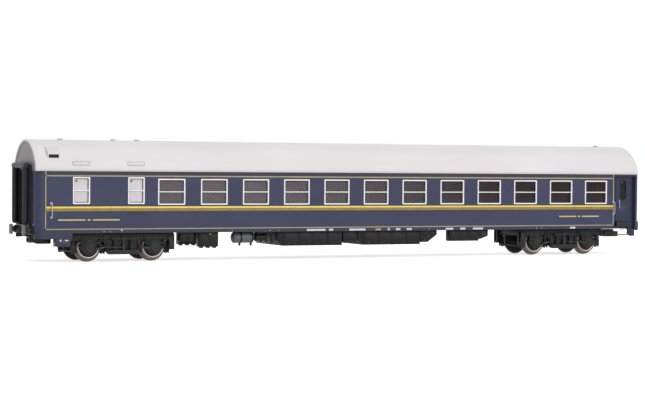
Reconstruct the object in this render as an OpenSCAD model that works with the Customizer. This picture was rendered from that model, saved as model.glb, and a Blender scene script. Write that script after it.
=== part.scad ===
/* [Wheels and bogies] */
// Diameter over the wheel flanges
flange_d = 12.4; // [10:0.1:16]
// Diameter of the wheel tread
tread_d = 10.6; // [8.5:0.1:14]
// Track gauge between the flanges' outer corners
gauge = 16.5; // [14:0.1:20]
// Distance between the two axles of a bogie
wheelbase = 28.7; // [26:0.1:36]
// Diameter of an axle between its wheels
axle_d = 2; // [1.4:0.1:3]
// Diameter of an axle's end in its box
journal_d = 1.5; // [1:0.1:2]
// Radial running clearance of axle ends and pivots
run_clear = 0.05; // [0.02:0.01:0.09]
// Gap kept between pieces that pass each other
pass_gap = 0.4; // [0.3:0.05:0.8]
// Thickness of a bogie's side frame
side_frame_t = 1.7; // [1.2:0.1:2.5]
// Height of a bogie's side frame above the axle centre
frame_rise = 5.5; // [4.5:0.1:7]
// Depth of the side frame's top beam
frame_beam_h = 2.6; // [2:0.1:3.5]
// Reach of the frame past the wheels at the coach's middle
frame_tail = 2.6; // [2:0.1:4]
// Diameter of the screw that a bogie turns on
pivot_d = 4; // [3:0.1:5]
// Distance from a bogie's pivot to the body's end
pivot_from_end = 39.1; // [37:0.1:48]

/* [Body] */
// Length over the body's ends
body_length = 296.6; // [245:0.2:360]
// Width over the side walls
body_width = 33.2; // [27:0.1:40]
// Height of the side walls
side_height = 25.9; // [21:0.1:32]
// Drop of the side walls below the floor's underside
skirt_drop = 0.9; // [0.4:0.1:1.2]
// Thickness of the side and end walls
wall_t = 1.2; // [0.8:0.1:1.6]
// Radius of the body's upright corners
corner_r = 3; // [2:0.1:5]
// Radius of the body's rear corners, beside the entrances
rear_corner_r = 0.5; // [0.3:0.1:1.1]
// Depth of the front aprons below the side walls
front_apron_drop = 2.3; // [1:0.1:3.5]
// Depth of the rear corner aprons below the side walls
rear_apron_drop = 3.6; // [1:0.1:4]
// Thickness of the floor
floor_t = 1.6; // [1.2:0.1:2.5]
// Space between the wheel flanges and the floor
floor_clear = 0.8; // [0.6:0.1:2]

/* [Roof] */
// Rise of the roof from the eaves to the crest
roof_rise = 13.2; // [11:0.1:16]
// Radius of the roof's shoulders
shoulder_r = 9.5; // [8:0.1:11]
// Thickness of the roof
roof_t = 1; // [0.8:0.1:1.6]
// Depth of the gutter along the eaves
gutter_t = 0.25; // [0.15:0.05:0.5]
// Height of the gutter
gutter_h = 0.7; // [0.4:0.1:1]
// Recess of the roof's end face inside its rim
rim_depth = 0.5; // [0.2:0.1:1]

/* [Windows] */
// Number of compartment windows on a side
compartments = 12; // [8:1:13]
// Width of a compartment window over its frame
window_w = 12.3; // [9:0.1:13]
// Width of a toilet window over its frame
toilet_window_w = 7.4; // [5:0.1:8.5]
// Distance from the front end to the first compartment window's centre
first_window = 59.4; // [56:0.1:64]
// Distance from the last compartment window's centre to the rear end
last_window = 23.7; // [22:0.1:28]
// Distance from the front end to the first toilet window's centre
first_toilet = 19.6; // [16:0.1:22]
// Distance from the front end to the second toilet window's centre
second_toilet = 43.6; // [40:0.1:46]
// Space between the window frames and the eaves
window_top_gap = 3; // [2:0.1:4]
// Space between the belt moulding and the window frames
window_sill_gap = 0.6; // [0.3:0.1:1.5]
// Width of a window frame's bar
frame_bar = 0.8; // [0.5:0.1:1.2]
// Width of the bar between a window's two lights
middle_bar = 0.5; // [0.3:0.1:1]
// Stand of the window frames outside the wall
frame_proud = 0.2; // [0.1:0.05:0.4]
// Depth of a window frame in the wall
frame_depth = 0.7; // [0.4:0.1:0.8]
// Thickness of the glazing strip behind the wall
glazing_t = 0.6; // [0.4:0.1:0.8]
// Height of the belt moulding above the side walls' lower edge
belt_rise = 9.2; // [8:0.1:11]
// Height of the belt moulding
belt_h = 2; // [1.5:0.1:2.4]
// Stand of the belt moulding outside the wall
belt_t = 0.3; // [0.15:0.05:0.5]

/* [Entrance] */
// Distance from the rear end to the far edge of the door recess
recess_from_end = 13.1; // [12:0.1:16]
// Width of the post between the recess and the rear end
end_post = 1.3; // [1:0.1:2]
// Depth of the door recess
recess_depth = 1.7; // [1.3:0.1:2.4]
// Width of an entrance door's leaf
door_w = 8.6; // [7:0.1:9.4]
// Height of the door's foot above the side walls' lower edge
door_foot = 3.4; // [2.5:0.1:4]
// Width of the oval window in an entrance door
door_window_w = 3.4; // [2.4:0.1:5]
// Diameter of a handrail
rail_d = 0.5; // [0.4:0.05:0.8]
// Stand of a handrail outside the wall
rail_stand = 1.2; // [0.8:0.1:1.6]
// Length of a handrail
rail_h = 6.3; // [4:0.1:9]

/* [Ends] */
// Height of the buffers and the draw hook above the wheel flanges
buffer_z = 13.5; // [12.9:0.1:15]
// Distance of a buffer from the coach's centre line
buffer_y = 10.06; // [8:0.01:12]
// Reach of the buffers past the body's end
buffer_reach = 3.4; // [2.8:0.1:4.5]
// Width of a buffer head
buffer_head_w = 5; // [4:0.1:6]
// Height of a buffer head
buffer_head_h = 4.4; // [3.5:0.1:5]
// Diameter of a gangway's rubber tube
tube_d = 2.4; // [1.6:0.1:3]
// Distance of a gangway's upright tube from the centre line
tube_y = 8; // [6:0.1:10]
// Rise of a gangway's top tube above the eaves
tube_rise = 2.2; // [1:0.1:4]
// Distance from the body's end to a coupler's peg
peg_from_end = 10.8; // [10:0.1:12]
// Length of a coupler's pocket
pocket_l = 7.7; // [6:0.1:9]
// Width of a coupler's pocket
pocket_w = 4.2; // [3.8:0.1:5]

/* [Underfloor] */
// Depth of the equipment cases below the floor
case_drop = 7.2; // [4:0.1:7.6]
// Distance of the equipment's face from the centre line
equipment_y = 14.6; // [12:0.1:15]
// Depth of the small boxes from the face inwards
box_depth = 4; // [3:0.1:6]
// Diameter of the air tanks
tank_d = 4.8; // [3.5:0.1:6]
// Clearance between the equipment and a swung bogie
swing_gap = 1.6; // [1.6:0.1:4]

/* [Interior] */
// Thickness of the compartment walls
partition_t = 0.8; // [0.6:0.1:1.2]
// Distance of the corridor wall from the centre line
corridor_y = 7; // [5:0.1:9]
// Width of a berth
berth_w = 8; // [5:0.1:9]
// Thickness of the ballast plate
ballast_t = 1; // [0.6:0.1:1.6]
// Length of the ballast plate
ballast_l = 120; // [60:1:150]
// Width of the ballast plate
ballast_w = 12; // [8:0.5:14]

/* [Hidden] */
$fn = 48;

axle_z = flange_d / 2;
floor_z = flange_d + floor_clear;
floor_top = floor_z + floor_t;
skirt_z = floor_z - skirt_drop;
eave_z = skirt_z + side_height;
roof_top_z = eave_z + roof_rise;
half_l = body_length / 2;
half_w = body_width / 2;
inner_w = half_w - wall_t;
crown_r = (pow(half_w - shoulder_r, 2) + pow(roof_rise, 2) - pow(shoulder_r, 2))
  / (2 * (roof_rise - shoulder_r));
shoulder_y = half_w - shoulder_r;
tangent_a = atan2(eave_z - (roof_top_z - crown_r), shoulder_y);
crown_step = (180 - 2 * tangent_a) / 3;
roof_end_x = half_l - wall_t - rim_depth;
floor_x = half_l - wall_t - 0.5;
pivot_x = half_l - pivot_from_end;
wheel_back_y = (gauge - 2.1) / 2;
flange_t = 0.9;
tread_w = 2;
wheel_face_y = wheel_back_y + flange_t + tread_w;
frame_in_y = wheel_face_y + pass_gap;
frame_out_y = frame_in_y + side_frame_t;
frame_top_z = axle_z + frame_rise;
frame_beam_z = frame_top_z - frame_beam_h;
axle_x = wheelbase / 2;
headstock_x = axle_x + flange_d / 2 + pass_gap;
frame_outer_x = headstock_x + 1.1;
frame_inner_x = axle_x + flange_d / 2 + frame_tail;
free_half = pivot_x - frame_inner_x - swing_gap;
belt_z = skirt_z + belt_rise;
window_z0 = belt_z + belt_h + window_sill_gap;
window_z1 = eave_z - window_top_gap;
window_h = window_z1 - window_z0;
toilet_z0 = window_z0 + 0.4;
toilet_z1 = window_z1 + 0.6;
window_pitch = (body_length - first_window - last_window) / (compartments - 1);
recess_x0 = half_l - recess_from_end;
recess_x1 = half_l - end_post;
door_x = (recess_x0 + recess_x1) / 2;
door_z0 = skirt_z + door_foot;
door_z1 = eave_z - 1.6;
recess_face_y = half_w - recess_depth;
tube_x = half_l + 0.8 + tube_d / 2;
tube_top_z = eave_z + tube_rise;
gangway_z0 = floor_top + 0.4;
tube_z0 = buffer_z + buffer_head_h / 2 + 0.3;
beam_h = 3.3;
beam_w = 26;
beam_out = 0.6;
peg_x = half_l - peg_from_end;
peg_d = 2;
pocket_z = 8;
pocket_h = 2.6;
arm_z = pocket_z + 2.2;
arm_t = 1.3;
ceiling_z = eave_z - 1.2;
box_in_y = equipment_y - box_depth;
screw_head_z = axle_z + 1.3;
bolster_z = screw_head_z + 1;
pad_z = frame_top_z + 0.1;

body_blue = [0.27, 0.29, 0.38];
roof_grey = [0.87, 0.86, 0.86];
frame_black = [0.13, 0.13, 0.14];
box_black = [0.17, 0.17, 0.18];
tank_grey = [0.38, 0.38, 0.4];
window_white = [0.93, 0.92, 0.94];
belt_gold = [0.85, 0.77, 0.5];
wheel_brown = [0.45, 0.4, 0.38];
rail_silver = [0.85, 0.85, 0.88];
wood_brown = [0.35, 0.2, 0.15];

function arc(cx, cy, r, from, to, steps) = [
  for (i = [0 : steps])
    let (a = from + (to - from) * i / steps)
      [cx + r * cos(a), cy + r * sin(a)]
];

function round_rect(w, h, r, steps) = concat(
  arc(w / 2 - r, h / 2 - r, r, 0, 90, steps),
  arc(-w / 2 + r, h / 2 - r, r, 90, 180, steps),
  arc(-w / 2 + r, -h / 2 + r, r, 180, 270, steps),
  arc(w / 2 - r, -h / 2 + r, r, 270, 360, steps)
);

// Body's outline in plan, moved inwards by inset: round front corners, nearly sharp rear ones
function body_plan(inset) =
  let (
    x = half_l - inset,
    y = half_w - inset,
    front_r = corner_r - inset,
    rear_r = max(rear_corner_r - inset, 0.2)
  )
  concat(
    arc(x - rear_r, y - rear_r, rear_r, 0, 90, 4),
    arc(-x + front_r, y - front_r, front_r, 90, 180, 6),
    arc(-x + front_r, -y + front_r, front_r, 180, 270, 6),
    arc(x - rear_r, -y + rear_r, rear_r, 270, 360, 4)
  );

// Roof arch in the Y-Z plane, moved inwards by inset, from the eave at +Y over to -Y
function roof_arch(inset) = concat(
  arc(shoulder_y, eave_z, shoulder_r - inset, 0, tangent_a, 8),
  arc(0, roof_top_z - crown_r, crown_r - inset, tangent_a, 180 - tangent_a, 24),
  arc(-shoulder_y, eave_z, shoulder_r - inset, 180 - tangent_a, 180, 8)
);

// Place along the underfloor, in hundredths of the free length between the bogies
function bay_x(share) = -free_half + 2 * free_half * share / 100;

function window_x(i) = -half_l + first_window + i * window_pitch;

module both_sides() {
  children();
  mirror([0, 1, 0]) children();
}

// What stands on the compartments' side of the coach only
module compartment_side() {
  mirror([0, 1, 0]) children();
}

module both_ends() {
  children();
  mirror([1, 0, 0]) children();
}

// Turns a piece that is drawn for the front end round to the rear end
module at_rear() {
  rotate([0, 0, 180]) children();
}

// Box between two opposite corners
module span(low, high) {
  translate(low) cube(high - low);
}

// Outline in the X-Z plane, pulled from y0 out to y1 on the +Y side
module side_prism(y0, y1) {
  translate([0, y1, 0]) rotate([90, 0, 0]) linear_extrude(y1 - y0) children();
}

// Outline in the Y-Z plane, pulled from x0 to x1
module end_prism(x0, x1) {
  translate([x0, 0, 0]) rotate([90, 0, 90]) linear_extrude(x1 - x0) children();
}

module window_outline(w, z0, z1, r) {
  translate([0, (z0 + z1) / 2]) polygon(round_rect(w, z1 - z0, r, 4));
}

module window_holes() {
  for (i = [0 : compartments - 1])
    translate([window_x(i), 0, 0])
      side_prism(inner_w - 1, half_w + 1) window_outline(window_w, window_z0, window_z1, 0.8);
  for (d = [first_toilet, second_toilet])
    translate([-half_l + d, 0, 0])
      side_prism(inner_w - 1, half_w + 1)
        window_outline(toilet_window_w, toilet_z0, toilet_z1, 0.8);
}

// Ring of the walls' plan, cut to one corner of the body
module corner_apron(x0, x1, drop) {
  intersection() {
    translate([0, 0, skirt_z - drop]) linear_extrude(drop + 0.5)
      difference() {
        polygon(body_plan(0));
        polygon(body_plan(wall_t));
      }
    span([x0, half_w - corner_r, skirt_z - drop], [x1, half_w + 1, skirt_z + 0.5]);
  }
}

module body_shell() color(body_blue) {
  difference() {
    union() {
      difference() {
        translate([0, 0, skirt_z]) linear_extrude(side_height)
          polygon(body_plan(0));
        translate([0, 0, skirt_z - 1]) linear_extrude(side_height + 2)
          polygon(body_plan(wall_t));
      }
      both_sides() corner_apron(-half_l, -half_l + 15.8, front_apron_drop);
      // Inner wall that carries the recessed entrance door, and the apron under its end
      both_sides() {
        span([recess_x0 - 1, recess_face_y - wall_t, skirt_z],
          [half_l - 0.4, inner_w + 0.2, eave_z]);
        span([half_l - 3.5, recess_face_y - wall_t, skirt_z - rear_apron_drop],
          [half_l - 0.4, recess_face_y, skirt_z + 0.1]);
      }
    }
    both_sides() window_holes();
    // Recess, and the doorway in its back
    both_sides()
      span([recess_x0, recess_face_y, skirt_z - 1], [recess_x1, half_w + 1, eave_z - 0.9]);
    both_sides()
      span([door_x - door_w / 2, recess_face_y - wall_t - 1, door_z0],
        [door_x + door_w / 2, recess_face_y + 1, door_z1]);
    // Gangway doorways and the cut-outs for the buffer beams
    both_ends() {
      span([half_l - wall_t - 1, -(tube_y - tube_d / 2), skirt_z - 1],
        [half_l + 1, tube_y - tube_d / 2, eave_z - 0.8]);
      span([half_l - wall_t - 1, -beam_w / 2 - 0.2, skirt_z - 1],
        [half_l + 1, beam_w / 2 + 0.2, gangway_z0]);
    }
  }
}

module roof_block(inset) {
  polygon(roof_arch(inset));
}

// Strip of the roof's shell between two angles round a centre, over the length of the inside
module roof_strip(cy, cz, r, from, to) {
  end_prism(-roof_end_x, roof_end_x)
    polygon(concat(arc(cy, cz, r, from, to, 8), arc(cy, cz, r - roof_t, to, from, 8)));
}

// Middle strip of the roof
module roof() color(roof_grey)
  roof_strip(0, roof_top_z - crown_r, crown_r, tangent_a + crown_step, tangent_a + 2 * crown_step);

// Strip of the roof on each side of the crown
module roof_haunches() color(roof_grey)
  both_sides()
    roof_strip(0, roof_top_z - crown_r, crown_r, tangent_a, tangent_a + crown_step);

// Tightly curved edge of the roof on each side, with its gutter
module roof_shoulders() color(roof_grey)
  both_sides() {
    roof_strip(shoulder_y, eave_z, shoulder_r, 0, tangent_a);
    span([-half_l + 2, half_w - 0.4, eave_z], [half_l - 2, half_w + gutter_t, eave_z + gutter_h]);
  }

// End wall of the roof, recessed inside a rim
module roof_ends() color(roof_grey)
  both_ends() difference() {
    end_prism(roof_end_x, half_l) roof_block(0);
    end_prism(half_l - rim_depth, half_l + 1) roof_block(0.8);
  }

// Hooded outlet on the roof's shoulder above the toilets
module roof_hoods() color(roof_grey) {
  hood_x0 = -half_l + 5.5;
  hood_x1 = hood_x0 + 5.3;
  hood_y = half_w - 1.6;
  both_sides() difference() {
    end_prism(hood_x0, hood_x1)
      polygon([
        [hood_y - 6, eave_z + 5], [hood_y, eave_z + 5], [hood_y, eave_z + 8],
        [hood_y - 3.9, eave_z + 10.1], [hood_y - 6, eave_z + 10.1]
      ]);
    end_prism(hood_x0 - 1, hood_x1 + 1) roof_block(0);
    span([hood_x0 + 0.5, hood_y - 0.9, eave_z + 5.3],
      [hood_x1 - 0.5, hood_y + 1, eave_z + 6.8]);
  }
}

module roof_vents() color(roof_grey) {
  for (x = [-half_l + 15.2, -half_l + 38.7, -half_l + 49.3, half_l - 13.4])
    translate([x, 0, roof_top_z]) {
      cylinder(d = 1.6, h = 0.3);
      translate([0, 0, 0.2]) cylinder(d1 = 2.8, d2 = 2, h = 0.4);
    }
}

module roof_grilles() color(roof_grey) {
  grille_l = 7.5;
  grille_a = 20;
  both_sides()
    for (x = [-half_l + first_toilet, -half_l + second_toilet])
      translate([x - grille_l / 2, shoulder_y, eave_z])
        rotate([grille_a, 0, 0])
          translate([0, shoulder_r, -0.9]) difference() {
            cube([grille_l, 0.3, 1.8]);
            for (z = [0.3, 0.8, 1.3])
              translate([0.4, 0.15, z]) cube([grille_l - 0.8, 0.3, 0.25]);
          }
}

// Flat floor, with the holes for the bogies' screws
module underframe() color(frame_black) {
  narrow_y = recess_face_y - wall_t - 0.2;
  difference() {
    union() {
      span([-floor_x + corner_r, -inner_w + 0.2, floor_z],
        [recess_x0 - 1.2, inner_w - 0.2, floor_top]);
      // Narrower floor past the body's corners and between the door recesses
      span([-floor_x, -narrow_y, floor_z], [floor_x, narrow_y, floor_top]);
    }
    both_ends() translate([pivot_x, 0, 0]) cylinder(d = pivot_d + 0.04, h = floor_top + 1);
  }
}

// Buffer beams, bogie bosses, and coupler bosses with their pegs, all against the floor
module frame_castings() color(frame_black)
  both_ends() {
    span([floor_x, -beam_w / 2, gangway_z0 - beam_h], [half_l + beam_out, beam_w / 2, gangway_z0]);
    translate([pivot_x, 0, pad_z + 0.2]) difference() {
      cylinder(d = 9, h = floor_z - pad_z - 0.2);
      translate([0, 0, -1]) cylinder(d = pivot_d + 0.04, h = floor_z - pad_z + 2);
    }
    translate([peg_x, 0, 0]) {
      translate([0, 0, arm_z + arm_t + 0.2]) cylinder(d = 4, h = floor_z - arm_z - arm_t - 0.2);
      translate([0, 0, arm_z - 0.8]) cylinder(d = peg_d, h = floor_z - arm_z + 0.8);
      translate([0, 0, arm_z - 0.8]) cylinder(d = 3, h = 0.6);
    }
  }

module ballast_plate() color("slategray") {
  span([-ballast_l / 2, -ballast_w / 2 - 1, floor_top],
    [ballast_l / 2, ballast_w / 2 - 1, floor_top + ballast_t]);
}

module compartment_walls() color(wood_brown) {
  wall_x0 = window_x(0) - window_pitch / 2;
  wall_x1 = min(window_x(compartments - 1) + window_pitch / 2, recess_x0) - 1;
  inside_y = inner_w - glazing_t - 0.3;
  difference() {
    union() {
      span([wall_x0, corridor_y, floor_top], [wall_x1, corridor_y + partition_t, ceiling_z]);
      for (i = [0 : compartments]) {
        x = i < compartments ? wall_x0 + i * window_pitch : wall_x1 - partition_t;
        span([x, -inside_y, floor_top], [x + partition_t, corridor_y + 0.1, ceiling_z]);
      }
    }
    span([-ballast_l / 2 - 0.1, -ballast_w / 2 - 1.1, floor_top - 1],
      [ballast_l / 2 + 0.1, ballast_w / 2 - 0.9, floor_top + ballast_t]);
  }
}

// One low berth and one high berth in each compartment, against its wall
module berths() color("firebrick") {
  inside_y = inner_w - glazing_t - 0.5;
  for (i = [0 : compartments - 1]) {
    x = window_x(i) - window_pitch / 2 + partition_t;
    span([x, -inside_y, floor_top + ballast_t], [x + berth_w, corridor_y, floor_top + 5]);
    span([x, -inside_y, floor_top + 13.4], [x + berth_w, corridor_y, floor_top + 14.6]);
  }
}

// One frame with two lights, its front face outside the wall
module window_frame(w, z0, z1, middle_z) {
  light_w = w - 2 * frame_bar;
  side_prism(half_w - frame_depth, half_w + frame_proud) difference() {
    window_outline(w, z0, z1, 0.8);
    window_outline(light_w, z0 + frame_bar, middle_z - middle_bar / 2, 0.3);
    window_outline(light_w, middle_z + middle_bar / 2, z1 - frame_bar, 0.3);
  }
}

module window_frame_row() {
  for (i = [0 : compartments - 1])
    translate([window_x(i), 0, 0])
      window_frame(window_w, window_z0, window_z1, (window_z0 + window_z1) / 2);
  for (d = [first_toilet, second_toilet])
    translate([-half_l + d, 0, 0])
      window_frame(toilet_window_w, toilet_z0, toilet_z1, (toilet_z0 + toilet_z1) / 2);
}

module compartment_window_frames() color(window_white) {
  mirror([0, 1, 0]) window_frame_row();
}

module corridor_window_frames() color(window_white) {
  window_frame_row();
}

// Clear strip behind the wall with a raised pane in each window
module glazing_strip() {
  strip_end = window_w / 2 + 1.2;
  span([window_x(0) - strip_end, inner_w - glazing_t, window_z0 - 0.8],
    [window_x(compartments - 1) + strip_end, inner_w, window_z1 + 0.8]);
  for (i = [0 : compartments - 1])
    translate([window_x(i), 0, 0])
      side_prism(inner_w - 0.1, half_w - frame_depth)
        window_outline(window_w, window_z0, window_z1, 0.8);
}

module compartment_glazing() color([0.7, 0.75, 0.8, 0.35]) {
  mirror([0, 1, 0]) glazing_strip();
}

module corridor_glazing() color([0.7, 0.75, 0.8, 0.35]) {
  glazing_strip();
}

module toilet_panes() color([0.9, 0.89, 0.92]) {
  both_sides()
    for (d = [first_toilet, second_toilet])
      translate([-half_l + d, 0, 0])
        side_prism(inner_w - 0.2, half_w - frame_depth)
          window_outline(toilet_window_w, toilet_z0, toilet_z1, 0.8);
}

// Two ribs along each side with a thin web between them
module belt_mouldings() color(belt_gold) {
  belt_x0 = -half_l + 4.3;
  belt_x1 = recess_x0 - 0.5;
  both_sides() {
    span([belt_x0, half_w, belt_z], [belt_x1, half_w + belt_t * 0.3, belt_z + belt_h]);
    span([belt_x0, half_w, belt_z], [belt_x1, half_w + belt_t * 0.8, belt_z + 0.85]);
    span([belt_x0, half_w, belt_z + belt_h - 0.95], [belt_x1, half_w + belt_t, belt_z + belt_h]);
  }
}

module door_window_outline(grow) {
  door_window_z1 = door_z1 - 1;
  door_window_z0 = belt_z + 4.4;
  window_outline(door_window_w + 2 * grow, door_window_z0 - grow, door_window_z1 + grow,
    door_window_w / 2 + grow - 0.01);
}

module entrance_doors() color(body_blue) {
  both_sides() translate([door_x, 0, 0]) difference() {
    side_prism(recess_face_y - wall_t, recess_face_y + 0.1)
      window_outline(door_w - 0.1, door_z0 + 0.05, door_z1 - 0.05, 0.3);
    side_prism(recess_face_y - wall_t - 1, recess_face_y + 1) door_window_outline(0);
  }
}

module entrance_door_windows() color([0.1, 0.1, 0.12]) {
  both_sides() translate([door_x, 0, 0]) {
    side_prism(recess_face_y - wall_t, recess_face_y - 0.4) door_window_outline(0);
    side_prism(recess_face_y - 0.4, recess_face_y + 0.25) difference() {
      door_window_outline(0);
      door_window_outline(-0.35);
    }
  }
}

// Upright rail with its two feet in the wall
module grab_rail(x, wall_y, z, height) {
  translate([x, wall_y + rail_stand, z]) cylinder(d = rail_d, h = height);
  for (foot_z = [z + rail_d / 2, z + height - rail_d / 2])
    translate([x, wall_y, foot_z])
      rotate([-90, 0, 0]) cylinder(d = rail_d - 0.1, h = rail_stand);
}

module handrails() color(rail_silver) {
  both_sides() {
    grab_rail(-half_l + 6.75, half_w, belt_z - 2.8, rail_h);
    grab_rail(recess_x0 - 0.6, half_w, belt_z - 2.5, rail_h);
  }
}

module door_handles() color(rail_silver) {
  both_sides()
    grab_rail(door_x - door_w / 2 + 1.3, recess_face_y + 0.1, belt_z + 1.2, 2.8);
}

// Black tread at the door's foot, and the thin step below it on its bracket
module door_steps() color(box_black) {
  step_x0 = recess_x0 + 1.4;
  step_y = half_w - 0.2;
  low_z = skirt_z - 3;
  both_sides() {
    span([step_x0, recess_face_y, skirt_z + 1], [step_x0 + 7, step_y, door_z0]);
    span([step_x0 - 0.8, recess_face_y - 1.2, low_z], [step_x0 + 7.4, step_y, low_z + 0.5]);
    span([step_x0 + 6.7, recess_face_y, low_z], [step_x0 + 8.1, recess_face_y + 1, skirt_z + 1.4]);
  }
}

module end_doors() color(box_black) {
  door_half = tube_y - tube_d / 2;
  both_ends() difference() {
    span([-half_l + 0.4, -door_half, gangway_z0], [-half_l + wall_t, door_half, eave_z - 0.8]);
    span([-half_l, -2.2, belt_z + 3], [-half_l + 0.7, 2.2, eave_z - 3]);
    span([-half_l, -door_half + 1.4, gangway_z0 + 1.2], [-half_l + 0.7, door_half - 1.4, belt_z + 1]);
  }
}

// Rubber tubes up both sides and across the top, on a flat frame
module gangway() {
  frame_half = tube_y + tube_d / 2 + 0.3;
  difference() {
    span([-half_l - 0.8, -frame_half, gangway_z0], [-half_l, frame_half, tube_top_z]);
    span([-half_l - 1, -tube_y + tube_d / 2, gangway_z0 - 1],
      [-half_l + 1, tube_y - tube_d / 2, tube_top_z - tube_d / 2]);
  }
  both_sides()
    translate([-tube_x + 0.1, tube_y, tube_z0]) cylinder(d = tube_d, h = tube_top_z - tube_z0);
  translate([-tube_x + 0.1, -tube_y - 1.9, tube_top_z])
    rotate([-90, 0, 0]) cylinder(d = tube_d + 0.02, h = 2 * tube_y + 3.8);
}

module front_gangway() color(box_black) gangway();
module rear_gangway() color(box_black) at_rear() gangway();

module buffer_pair() {
  head_t = 0.6;
  beam_face = half_l + beam_out;
  both_sides() translate([0, buffer_y, buffer_z]) rotate([0, -90, 0]) {
    translate([0, 0, beam_face]) cylinder(d = 3.4, h = 1.2);
    translate([0, 0, beam_face]) cylinder(d = 2.2, h = buffer_reach - beam_out - 0.1);
    translate([0, 0, half_l + buffer_reach - head_t])
      linear_extrude(head_t) polygon(round_rect(buffer_head_h, buffer_head_w, 0.9, 4));
  }
}

module front_buffers() color(frame_black) buffer_pair();
module rear_buffers() color(frame_black) at_rear() buffer_pair();

// Hook on its base plate, with the screw link hanging from it
module draw_hook() {
  hook_face = -half_l - beam_out;
  translate([hook_face - 0.3, -1.3, buffer_z - 1.3]) cube([0.3, 2.6, 2.6]);
  side_prism(-0.4, 0.4)
    polygon(concat(
      [[hook_face, buffer_z + 0.5], [hook_face, buffer_z - 0.5], [hook_face - 1.2, buffer_z - 0.6]],
      arc(hook_face - 1.5, buffer_z - 0.2, 0.9, 300, 120, 8),
      [[hook_face - 1.6, buffer_z + 0.1], [hook_face - 1.2, buffer_z + 0.4]]
    ));
  side_prism(-0.7, 0.7)
    translate([hook_face - 1.6, buffer_z - 1.7]) difference() {
      polygon(round_rect(0.8, 2.6, 0.3, 4));
      polygon(round_rect(0.3, 1.6, 0.1, 2));
    }
}

module front_draw_hook() color(frame_black) draw_hook();
module rear_draw_hook() color(frame_black) at_rear() draw_hook();

// Pocket for a coupler, on an arm that turns on a peg under the floor
module coupler() {
  pocket_x = half_l - 1.3;
  difference() {
    union() {
      span([-pocket_x, -pocket_w / 2, pocket_z],
        [-pocket_x + pocket_l, pocket_w / 2, pocket_z + pocket_h]);
      span([-pocket_x + 2, -1.3, arm_z], [-peg_x, 1.3, arm_z + arm_t]);
      translate([-peg_x, 0, arm_z]) cylinder(d = 4.4, h = arm_t);
    }
    translate([-peg_x, 0, arm_z - 1]) cylinder(d = peg_d + 2 * run_clear, h = arm_t + 2);
    translate([-peg_x, 0, arm_z - 3]) cylinder(d = 3.8, h = 3);
    span([-pocket_x - 1, -1.6, pocket_z + 0.5], [-pocket_x + 5.5, 1.6, pocket_z + 2]);
  }
}

module front_coupler() color(frame_black) coupler();
module rear_coupler() color(frame_black) at_rear() coupler();

// Box under each front apron
module filler_boxes() color(body_blue) {
  box_x = -pivot_x - frame_outer_x - 1.9;
  both_sides()
    span([box_x - 6.5, half_w - 4.2, skirt_z - front_apron_drop - 3.2],
      [box_x, half_w - 0.2, skirt_z - front_apron_drop]);
}

// Box behind the +Y side's skirt, between two shares of the bay
module side_box(from, to, drop) {
  span([bay_x(from), box_in_y, floor_z - drop], [bay_x(to), equipment_y, floor_z]);
}

module heater_boxes() color(box_black) both_sides() side_box(0.1, 3.9, 4.7);

module battery_boxes() color(box_black) {
  both_sides() {
    side_box(5.3, 10.6, case_drop);
    for (share = [5.9, 7.75, 9.5])
      span([bay_x(share), box_in_y + 0.5, floor_z - case_drop - 0.6],
        [bay_x(share) + 0.9, equipment_y - 0.4, floor_z - case_drop + 0.1]);
  }
}

module air_tank() color(tank_grey) {
  tank_y = equipment_y - tank_d / 2;
  tank_z = floor_z - 1 - tank_d / 2;
  x0 = bay_x(14.6);
  x1 = bay_x(20.8);
  compartment_side() {
    translate([x0 + 0.8, tank_y, tank_z]) rotate([0, 90, 0]) cylinder(d = tank_d, h = x1 - x0 - 1.6);
    translate([x0, tank_y, tank_z]) rotate([0, 90, 0]) cylinder(d = tank_d - 1.2, h = x1 - x0);
    for (x = [x0 + 3.4, x1 - 1.8]) {
      span([x, tank_y - 1.2, tank_z], [x + 1, tank_y + 1.2, floor_z]);
      span([x + 0.2, tank_y - 0.5, tank_z - tank_d / 2 - 1.2], [x + 0.8, tank_y + 0.5, tank_z]);
    }
  }
}

// Brake cylinder with its lever bracket
module brake_cylinders() color(box_black) {
  x0 = bay_x(21);
  x1 = bay_x(26.7);
  cylinder_z = floor_z - 3.4;
  both_sides() {
    translate([x0, equipment_y - 2.4, cylinder_z]) rotate([0, 90, 0]) cylinder(d = 3.6, h = (x1 - x0) * 0.6);
    translate([x0, equipment_y - 2.4, cylinder_z]) rotate([0, 90, 0]) cylinder(d = 1.2, h = x1 - x0 - 1);
    span([x0 + 1, equipment_y - 3.2, cylinder_z], [x0 + 2.4, equipment_y - 1.6, floor_z]);
    span([x1 - 1.6, equipment_y - 3, floor_z - 6.6], [x1 - 0.4, equipment_y - 1.8, floor_z]);
  }
}

// Full-width case with its front lower edge cut back
module equipment_case(from, to) {
  x0 = bay_x(from);
  x1 = bay_x(to);
  side_prism(-equipment_y, equipment_y)
    polygon([
      [x0, floor_z], [x0, floor_z - case_drop + 2.4], [x0 + 2.4, floor_z - case_drop],
      [x1, floor_z - case_drop], [x1, floor_z]
    ]);
}

module equipment_case_1() color(box_black) equipment_case(26.9, 45.6);
module equipment_case_2() color(box_black) equipment_case(50.1, 68.8);
module junction_boxes() color(frame_black) both_sides() side_box(45.8, 49.9, 5.9);

module pipe_brackets() color(frame_black) {
  x0 = bay_x(69);
  x1 = bay_x(74);
  both_sides() side_prism(equipment_y - 2.4, equipment_y - 0.6)
    polygon([
      [x0, floor_z], [x0, floor_z - 6.3], [x0 + 3.7, floor_z - 6.3], [x1, floor_z - 3],
      [x1, floor_z]
    ]);
}

module tool_lockers() color(box_black) compartment_side() side_box(77.8, 86.9, 6);

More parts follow.
